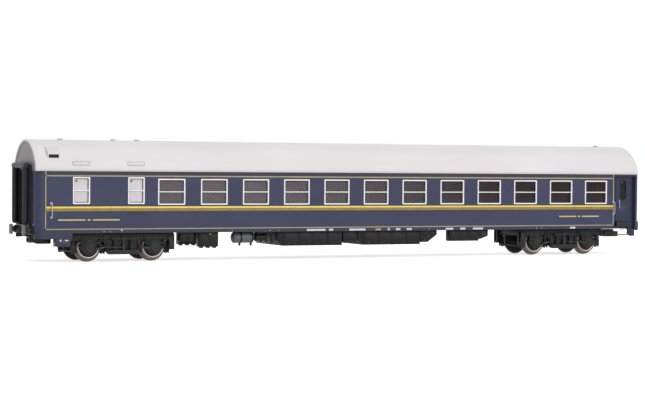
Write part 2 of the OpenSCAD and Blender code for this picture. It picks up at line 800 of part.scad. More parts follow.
module cable_brackets() color(frame_black) {
  x0 = bay_x(87.1);
  x1 = bay_x(90.05);
  both_sides() difference() {
    side_prism(equipment_y - 2.2, equipment_y - 1)
      polygon([[x0, floor_z], [x0, floor_z - 5.2], [x1, floor_z - 4], [x1, floor_z]]);
    translate([(x0 + x1) / 2, equipment_y - 3, floor_z - 2.7])
      rotate([-90, 0, 0]) cylinder(d = 1.8, h = 3);
  }
}

// Screw that a bogie turns on, its head under the bolster
module bogie_screw() {
  translate([0, 0, screw_head_z]) cylinder(d = 6, h = bolster_z - screw_head_z - 0.2);
  translate([0, 0, screw_head_z]) cylinder(d = pivot_d, h = floor_top - screw_head_z);
}

module front_bogie_screw() color(tank_grey) translate([-pivot_x, 0, 0]) bogie_screw();
module rear_bogie_screw() color(tank_grey) translate([pivot_x, 0, 0]) bogie_screw();

// Side frames, bolster and headstocks; +X points to the coach's middle
module bogie_frame() {
  bolster_half = 5;
  pedestal_half = 2.2;
  difference() {
    union() {
      both_sides() {
        span([-frame_outer_x, frame_in_y, frame_beam_z], [frame_inner_x, frame_out_y, frame_top_z]);
        for (x = [-axle_x, axle_x])
          span([x - pedestal_half, frame_in_y, axle_z - 1.8],
            [x + pedestal_half, frame_out_y, frame_beam_z + 0.1]);
        side_prism(frame_in_y, frame_out_y)
          polygon([
            [-7.6, frame_beam_z + 0.1], [-6.6, axle_z - 2.8], [6.6, axle_z - 2.8],
            [7.6, frame_beam_z + 0.1]
          ]);
        span([headstock_x, frame_in_y, axle_z], [frame_inner_x, frame_out_y, frame_beam_z + 0.1]);
      }
      span([-bolster_half, -frame_in_y - 0.1, bolster_z], [bolster_half, frame_in_y + 0.1, pad_z]);
      both_ends()
        span([headstock_x, -frame_in_y - 0.1, frame_beam_z],
          [headstock_x + 1.1, frame_in_y + 0.1, frame_top_z]);
    }
    translate([0, 0, bolster_z - 1]) cylinder(r = pivot_d / 2 + run_clear, h = pad_z - bolster_z + 2);
    both_sides()
      for (x = [-axle_x, axle_x])
        translate([x, frame_in_y - 0.5, axle_z])
          rotate([-90, 0, 0]) cylinder(r = journal_d / 2 + run_clear, h = side_frame_t - 0.3);
  }
}

module front_bogie_frame() color(frame_black) translate([-pivot_x, 0, 0]) bogie_frame();
module rear_bogie_frame() color(frame_black) at_rear() translate([-pivot_x, 0, 0]) bogie_frame();

// Round axle-box covers with a spring housing on each side, and a damper to the middle
module axle_boxes() {
  both_ends() both_sides() {
    translate([axle_x, frame_out_y, axle_z]) rotate([-90, 0, 0]) {
      cylinder(r = 3.1, h = 0.5);
      cylinder(r = 2.3, h = 0.9);
    }
    for (dx = [-3.9, 3.9])
      translate([axle_x + dx, frame_out_y, frame_beam_z - 0.6]) {
        translate([0, 0.8, -1]) cylinder(d = 1.5, h = 2.6);
        translate([-0.4, 0, 0.2]) cube([0.8, 1, 1]);
      }
    translate([axle_x - 6.6, frame_out_y + 0.6, axle_z]) rotate([0, 90, 0]) cylinder(d = 1.1, h = 4.4);
    translate([axle_x - 6.6, frame_out_y, axle_z - 0.4]) cube([0.8, 0.8, 0.8]);
  }
}

module front_bogie_axle_boxes() color(box_black) translate([-pivot_x, 0, 0]) axle_boxes();
module rear_bogie_axle_boxes() color(box_black) at_rear() translate([-pivot_x, 0, 0]) axle_boxes();

// Brake blocks on both sides of each wheel, hung from headstocks and cross beams
module brakes() {
  block_in = wheel_back_y + flange_t + 0.1;
  block_out = wheel_face_y - 0.1;
  block_gap = tread_d / 2 + pass_gap;
  low_z = axle_z - 2.4;
  outer_x = axle_x + block_gap;
  inner_x = axle_x - block_gap;
  both_ends() {
    both_sides() {
      span([outer_x, block_in, low_z], [outer_x + 1.4, block_out, frame_beam_z]);
      span([inner_x - 1.2, block_in, low_z], [inner_x, block_out, frame_beam_z + 0.6]);
    }
    span([inner_x - 1.2, -frame_in_y, frame_beam_z + 0.1],
      [inner_x - 0.2, frame_in_y, frame_beam_z + 0.9]);
  }
}

module front_bogie_brakes() color(frame_black) translate([-pivot_x, 0, 0]) brakes();
module rear_bogie_brakes() color(frame_black) at_rear() translate([-pivot_x, 0, 0]) brakes();

// Wheel turned round the Y axis, its back towards the coach's centre line
module wheel() {
  tread_r = tread_d / 2;
  flange_r = flange_d / 2;
  rim_r = tread_r - 0.9;
  hub_r = axle_d / 2 + 0.9;
  rotate([-90, 0, 0]) rotate_extrude()
    polygon([
      [axle_d / 2, wheel_back_y], [flange_r - 0.2, wheel_back_y],
      [flange_r, wheel_back_y + 0.2], [flange_r - 0.1, wheel_back_y + 0.45],
      [tread_r + 0.1, wheel_back_y + flange_t], [tread_r, wheel_face_y - 0.2],
      [tread_r - 0.2, wheel_face_y], [rim_r, wheel_face_y],
      [rim_r - 0.3, wheel_face_y - 0.9], [hub_r, wheel_face_y - 0.7],
      [hub_r, wheel_face_y - 0.1], [axle_d / 2, wheel_face_y - 0.1]
    ]);
}

module wheel_pair(x) {
  translate([x, 0, axle_z]) both_sides() wheel();
}

module wheels_1() color(wheel_brown) wheel_pair(-pivot_x - axle_x);
module wheels_2() color(wheel_brown) wheel_pair(-pivot_x + axle_x);
module wheels_3() color(wheel_brown) wheel_pair(pivot_x - axle_x);
module wheels_4() color(wheel_brown) wheel_pair(pivot_x + axle_x);

module axle(x) {
  journal_end = frame_in_y + side_frame_t - 1;
  translate([x, 0, axle_z]) rotate([-90, 0, 0]) {
    translate([0, 0, -wheel_face_y + 0.1]) cylinder(d = axle_d, h = 2 * wheel_face_y - 0.2);
    translate([0, 0, -journal_end]) cylinder(d = journal_d, h = 2 * journal_end);
  }
}

module axle_1() color("dimgray") axle(-pivot_x - axle_x);
module axle_2() color("dimgray") axle(-pivot_x + axle_x);
module axle_3() color("dimgray") axle(pivot_x - axle_x);
module axle_4() color("dimgray") axle(pivot_x + axle_x);

body_shell();
roof();
roof_haunches();
roof_shoulders();
roof_ends();
roof_hoods();
roof_vents();
roof_grilles();
underframe();
frame_castings();
ballast_plate();
compartment_walls();
berths();
compartment_window_frames();
corridor_window_frames();
compartment_glazing();
corridor_glazing();
toilet_panes();
belt_mouldings();
entrance_doors();
entrance_door_windows();
door_handles();
handrails();
door_steps();
end_doors();
front_gangway();
rear_gangway();
front_buffers();
rear_buffers();
front_draw_hook();
rear_draw_hook();
front_coupler();
rear_coupler();
filler_boxes();
heater_boxes();
battery_boxes();
air_tank();
brake_cylinders();
equipment_case_1();
junction_boxes();
equipment_case_2();
pipe_brackets();
tool_lockers();
cable_brackets();
front_bogie_screw();
rear_bogie_screw();
front_bogie_frame();
rear_bogie_frame();
front_bogie_axle_boxes();
rear_bogie_axle_boxes();
front_bogie_brakes();
rear_bogie_brakes();
wheels_1();
wheels_2();
wheels_3();
wheels_4();
axle_1();
axle_2();
axle_3();
axle_4();
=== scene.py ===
import math

import bmesh
import bpy
import numpy as np
from mathutils import Matrix, Vector


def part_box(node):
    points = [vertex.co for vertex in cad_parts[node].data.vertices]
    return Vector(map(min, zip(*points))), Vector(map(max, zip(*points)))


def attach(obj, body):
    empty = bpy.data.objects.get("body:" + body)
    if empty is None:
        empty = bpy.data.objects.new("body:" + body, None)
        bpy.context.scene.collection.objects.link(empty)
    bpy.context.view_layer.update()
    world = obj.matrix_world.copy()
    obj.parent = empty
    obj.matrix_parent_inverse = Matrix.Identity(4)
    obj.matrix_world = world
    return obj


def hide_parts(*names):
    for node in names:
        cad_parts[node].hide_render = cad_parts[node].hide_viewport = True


# Looks of a 1:87 scale model sleeping coach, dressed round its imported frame. Objects are in
# metres in the frame's own axes: X along the coach to its entrance end, Y to the corridor side,
# Z up from the rails. Shapes are worked out in millimetres and scaled once, in their mesh.

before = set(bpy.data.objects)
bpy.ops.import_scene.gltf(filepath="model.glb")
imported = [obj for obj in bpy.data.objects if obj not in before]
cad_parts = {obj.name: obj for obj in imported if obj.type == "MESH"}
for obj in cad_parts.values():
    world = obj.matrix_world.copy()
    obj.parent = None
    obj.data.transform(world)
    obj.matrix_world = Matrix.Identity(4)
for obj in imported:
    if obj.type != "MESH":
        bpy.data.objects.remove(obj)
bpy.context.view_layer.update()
scene = bpy.context.scene


# ---- Camera -------------------------------------------------------------------------------
# A long lens at the height of the coach's windows, out in front of its left end. It looks along
# the side, so that the entrance end comes out smaller.

CAMERA_PLACE = Vector((-0.3548, -0.7443, 0.0410))
CAMERA_YAW = math.radians(24.82)
CAMERA_PITCH = math.radians(-1.11)
CAMERA_ROLL = math.radians(0.44)

forward = Vector((
    math.sin(CAMERA_YAW) * math.cos(CAMERA_PITCH),
    math.cos(CAMERA_YAW) * math.cos(CAMERA_PITCH),
    math.sin(CAMERA_PITCH),
))
level_right = Vector((math.cos(CAMERA_YAW), -math.sin(CAMERA_YAW), 0))
level_up = level_right.cross(forward)
camera_right = level_right * math.cos(CAMERA_ROLL) + level_up * math.sin(CAMERA_ROLL)
camera_up = level_up * math.cos(CAMERA_ROLL) - level_right * math.sin(CAMERA_ROLL)
camera_data = bpy.data.cameras.new("camera")
camera_data.lens = 101.39
camera_data.clip_start = 0.01
camera = bpy.data.objects.new("camera", camera_data)
camera.matrix_world = Matrix.Translation(CAMERA_PLACE) @ Matrix(
    (camera_right, camera_up, -forward)
).transposed().to_4x4()
scene.collection.objects.link(camera)
scene.camera = camera


# ---- Light and floor ----------------------------------------------------------------------
# A white studio: an even pale surround, one large soft lamp above and one in front on the right.
# The floor is a matt white sheet that runs out of sight and keeps the coach's shadow.


class Value:
    """One socket of a shader, with arithmetic that adds Math nodes."""

    def __init__(self, nodes, socket):
        self.nodes = nodes
        self.socket = socket

    def math(self, operation, first, second):
        return self.nodes.node("ShaderNodeMath", {"operation": operation}, {0: first, 1: second})

    def __add__(self, other):
        return self.math("ADD", self, other)

    def __radd__(self, other):
        return self.math("ADD", other, self)

    def __sub__(self, other):
        return self.math("SUBTRACT", self, other)

    def __rsub__(self, other):
        return self.math("SUBTRACT", other, self)

    def __mul__(self, other):
        return self.math("MULTIPLY", self, other)

    def __rmul__(self, other):
        return self.math("MULTIPLY", other, self)


class Shader:
    """A node tree that is written as expressions."""

    def __init__(self, tree):
        self.tree = tree

    def feed(self, socket, value):
        if isinstance(value, Value):
            self.tree.links.new(value.socket, socket)
        elif socket.type == "RGBA":
            socket.default_value = (*value, 1)
        else:
            socket.default_value = value

    def node(self, kind, settings=None, values=None, output=0):
        """Adds a node, makes its settings, then feeds its sockets; gives one of its outputs."""
        made = self.tree.nodes.new(kind)
        for name, setting in (settings or {}).items():
            setattr(made, name, setting)
        for name, value in (values or {}).items():
            self.feed(made.inputs[name], value)
        return Value(self, made.outputs[output])

    def seen(self):
        """1 where a camera, glossy or transmitted ray arrives, and 0 for light on its way."""
        path = self.node("ShaderNodeLightPath").socket.node.outputs
        kinds = ("Is Camera Ray", "Is Glossy Ray", "Is Transmission Ray")
        camera_ray, glossy, transmitted = [Value(self, path[kind]) for kind in kinds]
        return glossy.math("MAXIMUM", glossy.math("MAXIMUM", camera_ray, glossy), transmitted)


class Finish(Shader):
    """One material: a Principled shader and what feeds it. Lengths are in millimetres."""

    def __init__(self, name, **sockets):
        self.material = bpy.data.materials.new(name)
        self.material.use_nodes = True
        super().__init__(self.material.node_tree)
        self.shader = self.tree.nodes["Principled BSDF"]
        self.set(**{"specular_ior_level": 0.3, **sockets})

    def set(self, **sockets):
        for name, value in sockets.items():
            socket = name.replace("_", " ").title().replace("Ior", "IOR")
            self.feed(self.shader.inputs[socket], value)

    def place(self, stretch=(1, 1, 1)):
        """Object coordinates in millimetres, divided by a stretch on each axis."""
        place = self.node("ShaderNodeTexCoord", output="Object")
        scale = tuple(1000 / s for s in stretch)
        return self.node("ShaderNodeVectorMath", {"operation": "MULTIPLY"}, {0: place, 1: scale})

    def axes(self):
        """The three object coordinates in millimetres."""
        split = self.node("ShaderNodeSeparateXYZ", values={0: self.place()}).socket.node
        return [Value(self, output) for output in split.outputs]

    def noise(self, size, detail=3, stretch=(1, 1, 1)):
        """Cloudy noise about a half, with lumps of that size drawn out along the stretch."""
        return self.node(
            "ShaderNodeTexNoise",
            values={"Vector": self.place(stretch), "Scale": 1 / size, "Detail": detail},
        )

    def step(self, value, low, high):
        """A smooth step from 0 at low to 1 at high."""
        return self.node(
            "ShaderNodeMapRange",
            {"interpolation_type": "SMOOTHSTEP"},
            {"Value": value, "From Min": low, "From Max": high},
        )

    def within(self, value, low, high, soft=0.05):
        """1 between low and high, with soft borders."""
        return self.step(value, low - soft, low) * (1 - self.step(value, high, high + soft))

    def mix(self, share, first, second):
        """The first colour where the share is 0, and the second where it is 1."""
        return self.node(
            "ShaderNodeMix", {"data_type": "RGBA"}, {"Factor": share, 6: first, 7: second}, 2
        )

    def relief(self, height, depth):
        """Bump that stands a depth higher where the height is 1."""
        values = {"Height": height, "Distance": depth / 1000}
        self.set(normal=self.node("ShaderNodeBump", values=values))


def srgb(red, green, blue):
    """A colour from its three values of 0 to 255, as linear light."""
    shares = [value / 255 for value in (red, green, blue)]
    return tuple(s / 12.92 if s <= 0.04045 else ((s + 0.055) / 1.055) ** 2.4 for s in shares)


SURROUND_LEVEL = 0.4
FLOOR_GLOW = 0.68
LAMP_AIM = Vector((0, 0, 0.03))

world = bpy.data.worlds.new("studio")
world.use_nodes = True
scene.world = world
surround = Shader(world.node_tree)
background = world.node_tree.nodes["Background"]
surround.feed(background.inputs["Color"], (1, 1, 1))
strength = SURROUND_LEVEL + (1 - SURROUND_LEVEL) * surround.seen()
surround.feed(background.inputs["Strength"], strength)

for name, place, size, power in (
    ("lamp_above", (-0.1, -0.15, 0.95), (1.5, 1.0), 3.9),
    ("lamp_front", (0.3, -1.2, 0.55), (1.2, 0.8), 8.2),
):
    lamp_data = bpy.data.lights.new(name, "AREA")
    lamp_data.shape = "RECTANGLE"
    lamp_data.size, lamp_data.size_y = size
    lamp_data.energy = power
    lamp = bpy.data.objects.new(name, lamp_data)
    lamp.location = place
    lamp.rotation_euler = (LAMP_AIM - lamp.location).to_track_quat("-Z", "Y").to_euler()
    scene.collection.objects.link(lamp)

scene.view_settings.view_transform = "Standard"

sheet_mesh = bpy.data.meshes.new("studio_floor")
sheet_mesh.from_pydata([(-4, -4, 0), (4, -4, 0), (4, 9, 0), (-4, 9, 0)], [], [(0, 1, 2, 3)])
floor = bpy.data.objects.new("studio_floor", sheet_mesh)
scene.collection.objects.link(floor)
paper = Finish("paper_white", base_color=(0.86, 0.86, 0.86), roughness=0.95)
paper.set(emission_color=paper.mix(paper.seen(), (0, 0, 0), (1, 1, 1)), emission_strength=FLOOR_GLOW)
sheet_mesh.materials.append(paper.material)


# ---- Wheels and axles ---------------------------------------------------------------------
# Each wheelset is two turned metal wheels pressed on a steel axle. The tyre is blackened to a
# warm brown, the seat of the tyre shows as a bright ring, and the wheel's middle is dark.


def corners(node):
    """The lowest and the highest corner of a frame node, in millimetres."""
    low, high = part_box(node)
    return np.array(low) * 1000, np.array(high) * 1000


def stand(points, axis):
    """Turns points of (across, up, along) so that the last one lies along an axis."""
    a, b, h = np.moveaxis(np.asarray(points, float), -1, 0)
    return np.stack({"x": (h, a, b), "y": (a, h, b), "z": (a, b, h)}[axis], axis=-1)


def turned(profile, centre, axis, sides=72):
    """Rings of a profile of (radius, along) pairs, each pair turned once round the axis."""
    radius, along = np.asarray(profile, float).T[:, :, None]
    angle = np.linspace(0, 2 * np.pi, sides, endpoint=False)
    ring = (radius * np.cos(angle), radius * np.sin(angle), along + 0 * angle)
    return stand(np.stack(ring, axis=-1), axis) + np.asarray(centre, float)


class Shape:
    """The surfaces of one piece, in millimetres, gathered before they become a mesh."""

    def __init__(self, mirrored=(1, 1, 1), shift=(0, 0, 0)):
        self.mirrored = np.array(mirrored, float)
        self.shift = np.array(shift, float)
        self.points, self.faces, self.finishes = [], [], []
        self.count = 0

    def add(self, points, faces, finishes):
        self.points.append(points.reshape(-1, 3) * self.mirrored + self.shift)
        self.faces += faces
        self.finishes += finishes
        self.count += len(self.points[-1])

    def rings(self, rings, finish=0, loop=False):
        """Closed rings, each joined to the next. The end rings are filled, or joined in a loop.
        The finish is one number, or one for each band between two rings."""
        count, sides = rings.shape[:2]
        index = np.arange(count * sides).reshape(count, sides) + self.count
        here = index if loop else index[:-1]
        ahead = np.roll(index, -1, axis=0) if loop else index[1:]
        bands = np.stack([here, np.roll(here, -1, 1), np.roll(ahead, -1, 1), ahead], axis=-1)
        finishes = np.repeat(np.broadcast_to(finish, len(here)), sides).tolist()
        faces = bands.reshape(-1, 4).tolist()
        if not loop:
            faces += [index[0, ::-1].tolist(), index[-1].tolist()]
            finishes += [finishes[0], finishes[-1]]
        self.add(rings, faces, finishes)

    def both_sides(self, rings, finish=0, loop=False):
        """The rings, and the same on the other side of the coach."""
        self.rings(rings, finish, loop)
        self.rings(rings * (1, -1, 1), finish, loop)

    def boxes(self, low, high, radius=0.15, axis="z", finish=0):
        """A box with rounded edges, on both sides of the coach."""
        self.both_sides(block(low, high, radius, axis), finish)

    def piece(self, name, slot, finishes, body="coach", replaces=None, weld=False):
        """Makes the mesh, turns its faces outwards, and hangs the piece on its body. Unless it is
        told otherwise, the piece stands for the frame node that its slot is named after."""
        mesh = bpy.data.meshes.new(name)
        mesh.from_pydata(np.concatenate(self.points) / 1000, [], self.faces)
        mesh.polygons.foreach_set("material_index", self.finishes)
        for finish in finishes:
            mesh.materials.append(finish.material)
        work = bmesh.new()
        work.from_mesh(mesh)
        if weld:
            bmesh.ops.remove_doubles(work, verts=work.verts, dist=1e-7)
        bmesh.ops.recalc_face_normals(work, faces=work.faces)
        work.to_mesh(mesh)
        work.free()
        mesh.shade_smooth()
        mesh.set_sharp_from_angle(angle=math.radians(32))
        made = bpy.data.objects.new(name, mesh)
        scene.collection.objects.link(made)
        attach(made, body)
        for node in (slot,) if replaces is None else replaces:
            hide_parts(node)
        return made


def coated(name, colour, spread=0.1, patch=5.0, rough=0.45, grain=0.15, depth=0.006, **sockets):
    """A moulded or painted finish: colour and gloss drift over patches, with a fine grain."""
    finish = Finish(name, **sockets)
    drift = finish.noise(patch, 5)
    fine = finish.noise(grain, 2)
    dark = tuple(value * (1 - spread) for value in colour)
    light = tuple(min(1, value * (1 + spread)) for value in colour)
    share = finish.step(0.75 * drift + 0.25 * fine, 0.32, 0.68)
    finish.set(base_color=finish.mix(share, dark, light), roughness=rough - 0.1 + 0.2 * drift)
    finish.relief(fine, depth)
    return finish


def dress(node, finish):
    """Gives a frame node its finish."""
    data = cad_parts[node].data
    data.materials.clear()
    data.materials.append(finish.material)


RING_IN_R, RING_OUT_R = 4.05, 4.75
WHEEL_BACK_Y = 7.2
WHEEL_BORE_R = 1.0
FLANGE_H = 0.9
DISC_SINK = 0.75
HOLE_CIRCLE_R = 3.0

tyre_brown = coated("tyre_brown", srgb(112, 100, 94), 0.22, 2.5, 0.36, 0.25, 0.01, metallic=0.75)
ring_bright = coated("ring_bright", srgb(178, 163, 156), 0.08, 1.5, 0.28, 0.2, 0.004, metallic=0.9)
disc_black = coated("disc_black", srgb(40, 38, 38), 0.2, 2.0, 0.5)
axle_steel = coated("axle_steel", srgb(120, 116, 114), 0.15, 1.5, 0.34, 0.1, 0.004, metallic=0.9)

for number in range(1, 5):
    low, high = corners(f"wheels_{number}")
    centre = ((low[0] + high[0]) / 2, 0, (low[2] + high[2]) / 2)
    flange_r = (high[2] - low[2]) / 2
    tread_r = flange_r - FLANGE_H
    face_y = high[1]
    disc_y = face_y - DISC_SINK
    wheel_profile = [
        (WHEEL_BORE_R, WHEEL_BACK_Y), (2.1, WHEEL_BACK_Y), (2.3, WHEEL_BACK_Y + 0.35),
        (4.3, WHEEL_BACK_Y + 0.35), (4.5, WHEEL_BACK_Y), (flange_r - 0.3, WHEEL_BACK_Y),
        (flange_r - 0.08, WHEEL_BACK_Y + 0.1), (flange_r, WHEEL_BACK_Y + 0.3),
        (flange_r - 0.08, WHEEL_BACK_Y + 0.5), (tread_r + 0.3, WHEEL_BACK_Y + 0.78),
        (tread_r + 0.06, WHEEL_BACK_Y + 0.98), (tread_r, WHEEL_BACK_Y + 1.3),
        (tread_r - 0.05, face_y - 0.22), (tread_r - 0.12, face_y - 0.07), (tread_r - 0.25, face_y),
        (RING_OUT_R + 0.06, face_y), (RING_OUT_R, face_y - 0.1), (RING_OUT_R - 0.08, face_y - 0.02),
        (RING_OUT_R - 0.2, face_y + 0.05), (RING_IN_R + 0.2, face_y + 0.05),
        (RING_IN_R + 0.05, face_y - 0.04), (RING_IN_R, face_y - 0.3), (RING_IN_R - 0.1, disc_y),
        (3.2, disc_y + 0.06), (2.4, disc_y + 0.18), (2.0, disc_y + 0.3),
        (1.9, face_y - 0.15), (1.75, face_y), (1.05, face_y), (WHEEL_BORE_R, face_y - 0.05),
    ]
    bands = [2] * 5 + [0] * 11 + [1] * 5 + [2] * 9
    wheels = Shape()
    wheels.both_sides(turned(wheel_profile, centre, "y", 96), bands, loop=True)
    for turn in range(6):
        angle = 2 * np.pi * (turn + 0.5) / 6
        hole_x = centre[0] + HOLE_CIRCLE_R * np.cos(angle)
        hole = (hole_x, disc_y - 0.02, centre[2] + HOLE_CIRCLE_R * np.sin(angle))
        wheels.both_sides(turned([(0.42, 0), (0.42, 0.14), (0.3, 0.2)], hole, "y", 14), 2)
    wheels.piece(
        f"turned_wheels_{number}", f"wheels_{number}", (tyre_brown, ring_bright, disc_black),
        body=f"wheelset_{number}",
    )
    dress(f"axle_{number}", axle_steel)


# ---- Bogie frames -------------------------------------------------------------------------
# A bogie is one black moulding: two side frames with a channel beam, a pedestal over each axle
# and a deep swing block with coil springs in the middle, tied by headstocks and a bolster.


def edges(low, high, radius, steps=2):
    """Levels of a slab from low to high: (inset, height) pairs with a quarter round at each face."""
    turn = np.linspace(0, np.pi / 2, steps + 1)
    inset, rise = radius * (1 - np.sin(turn)), radius * (1 - np.cos(turn))
    start = np.stack([inset, low + rise], axis=1)
    end = np.stack([inset, high - rise], axis=1)[::-1]
    return np.concatenate([start, end])


def slab(outline, levels, axis, centre=(0, 0, 0)):
    """Rings of an outline, one for each (inset, height) level: each point moves in along the
    mitre of its two sides, and the height lies along the axis."""
    outline = np.asarray(outline, float)
    ahead = np.roll(outline, -1, axis=0)
    if np.sum(outline[:, 0] * ahead[:, 1] - ahead[:, 0] * outline[:, 1]) < 0:
        outline = outline[::-1]
        ahead = np.roll(outline, -1, axis=0)
    side = ahead - outline
    side /= np.linalg.norm(side, axis=1, keepdims=True)
    mitre = side + np.roll(side, 1, axis=0)
    mitre /= np.linalg.norm(mitre, axis=1, keepdims=True)
    reach = 1 / np.maximum(np.sum(mitre * side, axis=1, keepdims=True), 0.35)
    inward = np.stack([-mitre[:, 1], mitre[:, 0]], axis=1) * reach
    inset, height = np.asarray(levels, float).T[:, :, None, None]
    flat = outline + inset * inward
    rings = np.concatenate([flat, height + 0 * flat[..., :1]], axis=-1)
    return stand(rings, axis) + np.asarray(centre, float)


def round_rect(width, height, radius, centre=(0, 0), steps=4):
    """A rectangle with quarter rounds at its corners."""
    turn = np.linspace(0, np.pi / 2, steps + 1)
    quarter = np.arange(4)[:, None] * np.pi / 2
    angle = turn + quarter
    middle = np.array([[1, 1], [-1, 1], [-1, -1], [1, -1]]) * (width / 2 - radius, height / 2 - radius)
    points = middle[:, None] + radius * np.stack([np.cos(angle), np.sin(angle)], axis=-1)
    return points.reshape(-1, 2) + np.asarray(centre, float)


def rounded(corner_points, radius, steps=3, closed=True):
    """A line through corner points, with each corner eased by a parabola that starts a radius
    before it and ends a radius after it."""
    points = np.asarray(corner_points, float)
    here = points if closed else points[1:-1]
    back = np.roll(points, 1, axis=0) if closed else points[:-2]
    ahead = np.roll(points, -1, axis=0) if closed else points[2:]
    unit_back = (back - here) / np.linalg.norm(back - here, axis=1, keepdims=True)
    unit_ahead = (ahead - here) / np.linalg.norm(ahead - here, axis=1, keepdims=True)
    t = np.linspace(0, 1, steps + 1)[None, :, None]
    start = (here + radius * unit_back)[:, None]
    end = (here + radius * unit_ahead)[:, None]
    eased = (1 - t) ** 2 * start + 2 * t * (1 - t) * here[:, None] + t ** 2 * end
    eased = eased.reshape(-1, points.shape[1])
    return eased if closed else np.concatenate([points[:1], eased, points[-1:]])


def block(low, high, radius=0.15, axis="z"):
    """Rings of a box between two corners with rounded edges, stood on an axis."""
    low, high = np.minimum(low, high), np.maximum(low, high)
    order = {"x": (1, 2, 0), "y": (0, 2, 1), "z": (0, 1, 2)}[axis]
    size = (high - low)[list(order)]
    middle = ((high + low) / 2)[list(order)]
    outline = round_rect(size[0], size[1], radius, middle[:2], 2)
    half = size[2] / 2
    return slab(outline, edges(middle[2] - half, middle[2] + half, radius), axis)


def tube(path, radius, sides=10):
    """Rings round a path: each point carries a circle square to the path's direction there."""
    path = np.asarray(path, float)
    along = np.gradient(path, axis=0)
    along /= np.linalg.norm(along, axis=1, keepdims=True)
    reference = np.eye(3)[np.argmin(np.abs(along).max(axis=0))]
    across = np.cross(along, reference)
    across /= np.linalg.norm(across, axis=1, keepdims=True)
    other = np.cross(along, across)
    angle = np.linspace(0, 2 * np.pi, sides, endpoint=False)[:, None]
    circle = np.cos(angle) * across[:, None] + np.sin(angle) * other[:, None]
    return path[:, None] + np.reshape(radius, (-1, 1, 1)) * circle


def coil(centre, radius, wire, height, turns):
    """Rings of an upright coil spring: a helix that climbs its height in its turns."""
    turn = np.linspace(0, 2 * np.pi * turns, int(14 * turns))
    rise = height * turn / turn[-1]
    path = np.stack([radius * np.cos(turn), radius * np.sin(turn), rise], axis=1)
    return tube(path + centre, wire, 7)


def bolt(centre, radius, height, axis="y", sides=6):
    """Rings of a bolt head, or of a round stud where it has many sides."""
    profile = [(radius, 0), (radius, height * 0.75), (radius * 0.8, height)]
    return turned(profile, centre, axis, sides)


FRAME_IN_Y = 10.5
FRAME_OUT_Y = 12.2
OUTER_END_X = -22.05
INNER_END_X = 23.15
SWING_HALF = 6.4
BEAM_Z = 9.1
BOGIE_AXLE_X = 14.35
AXLE_Z = 6.2

bogie_black = coated("bogie_black", srgb(31, 30, 32), 0.22, 4.0, 0.52, 0.12, 0.012)
spring_grey = coated("spring_grey", srgb(52, 52, 55), 0.15, 2.0, 0.4, 0.1, 0.008)
BOGIES = (("front", 1, "front_bogie"), ("rear", -1, "rear_bogie"))


def bogie_shape(end, turn):
    """A shape in a bogie's own axes: zero over its pivot, +X to the coach's middle."""
    low, high = corners(f"{end}_bogie_screw")
    return Shape((turn, 1, 1), ((low[0] + high[0]) / 2, 0, 0))


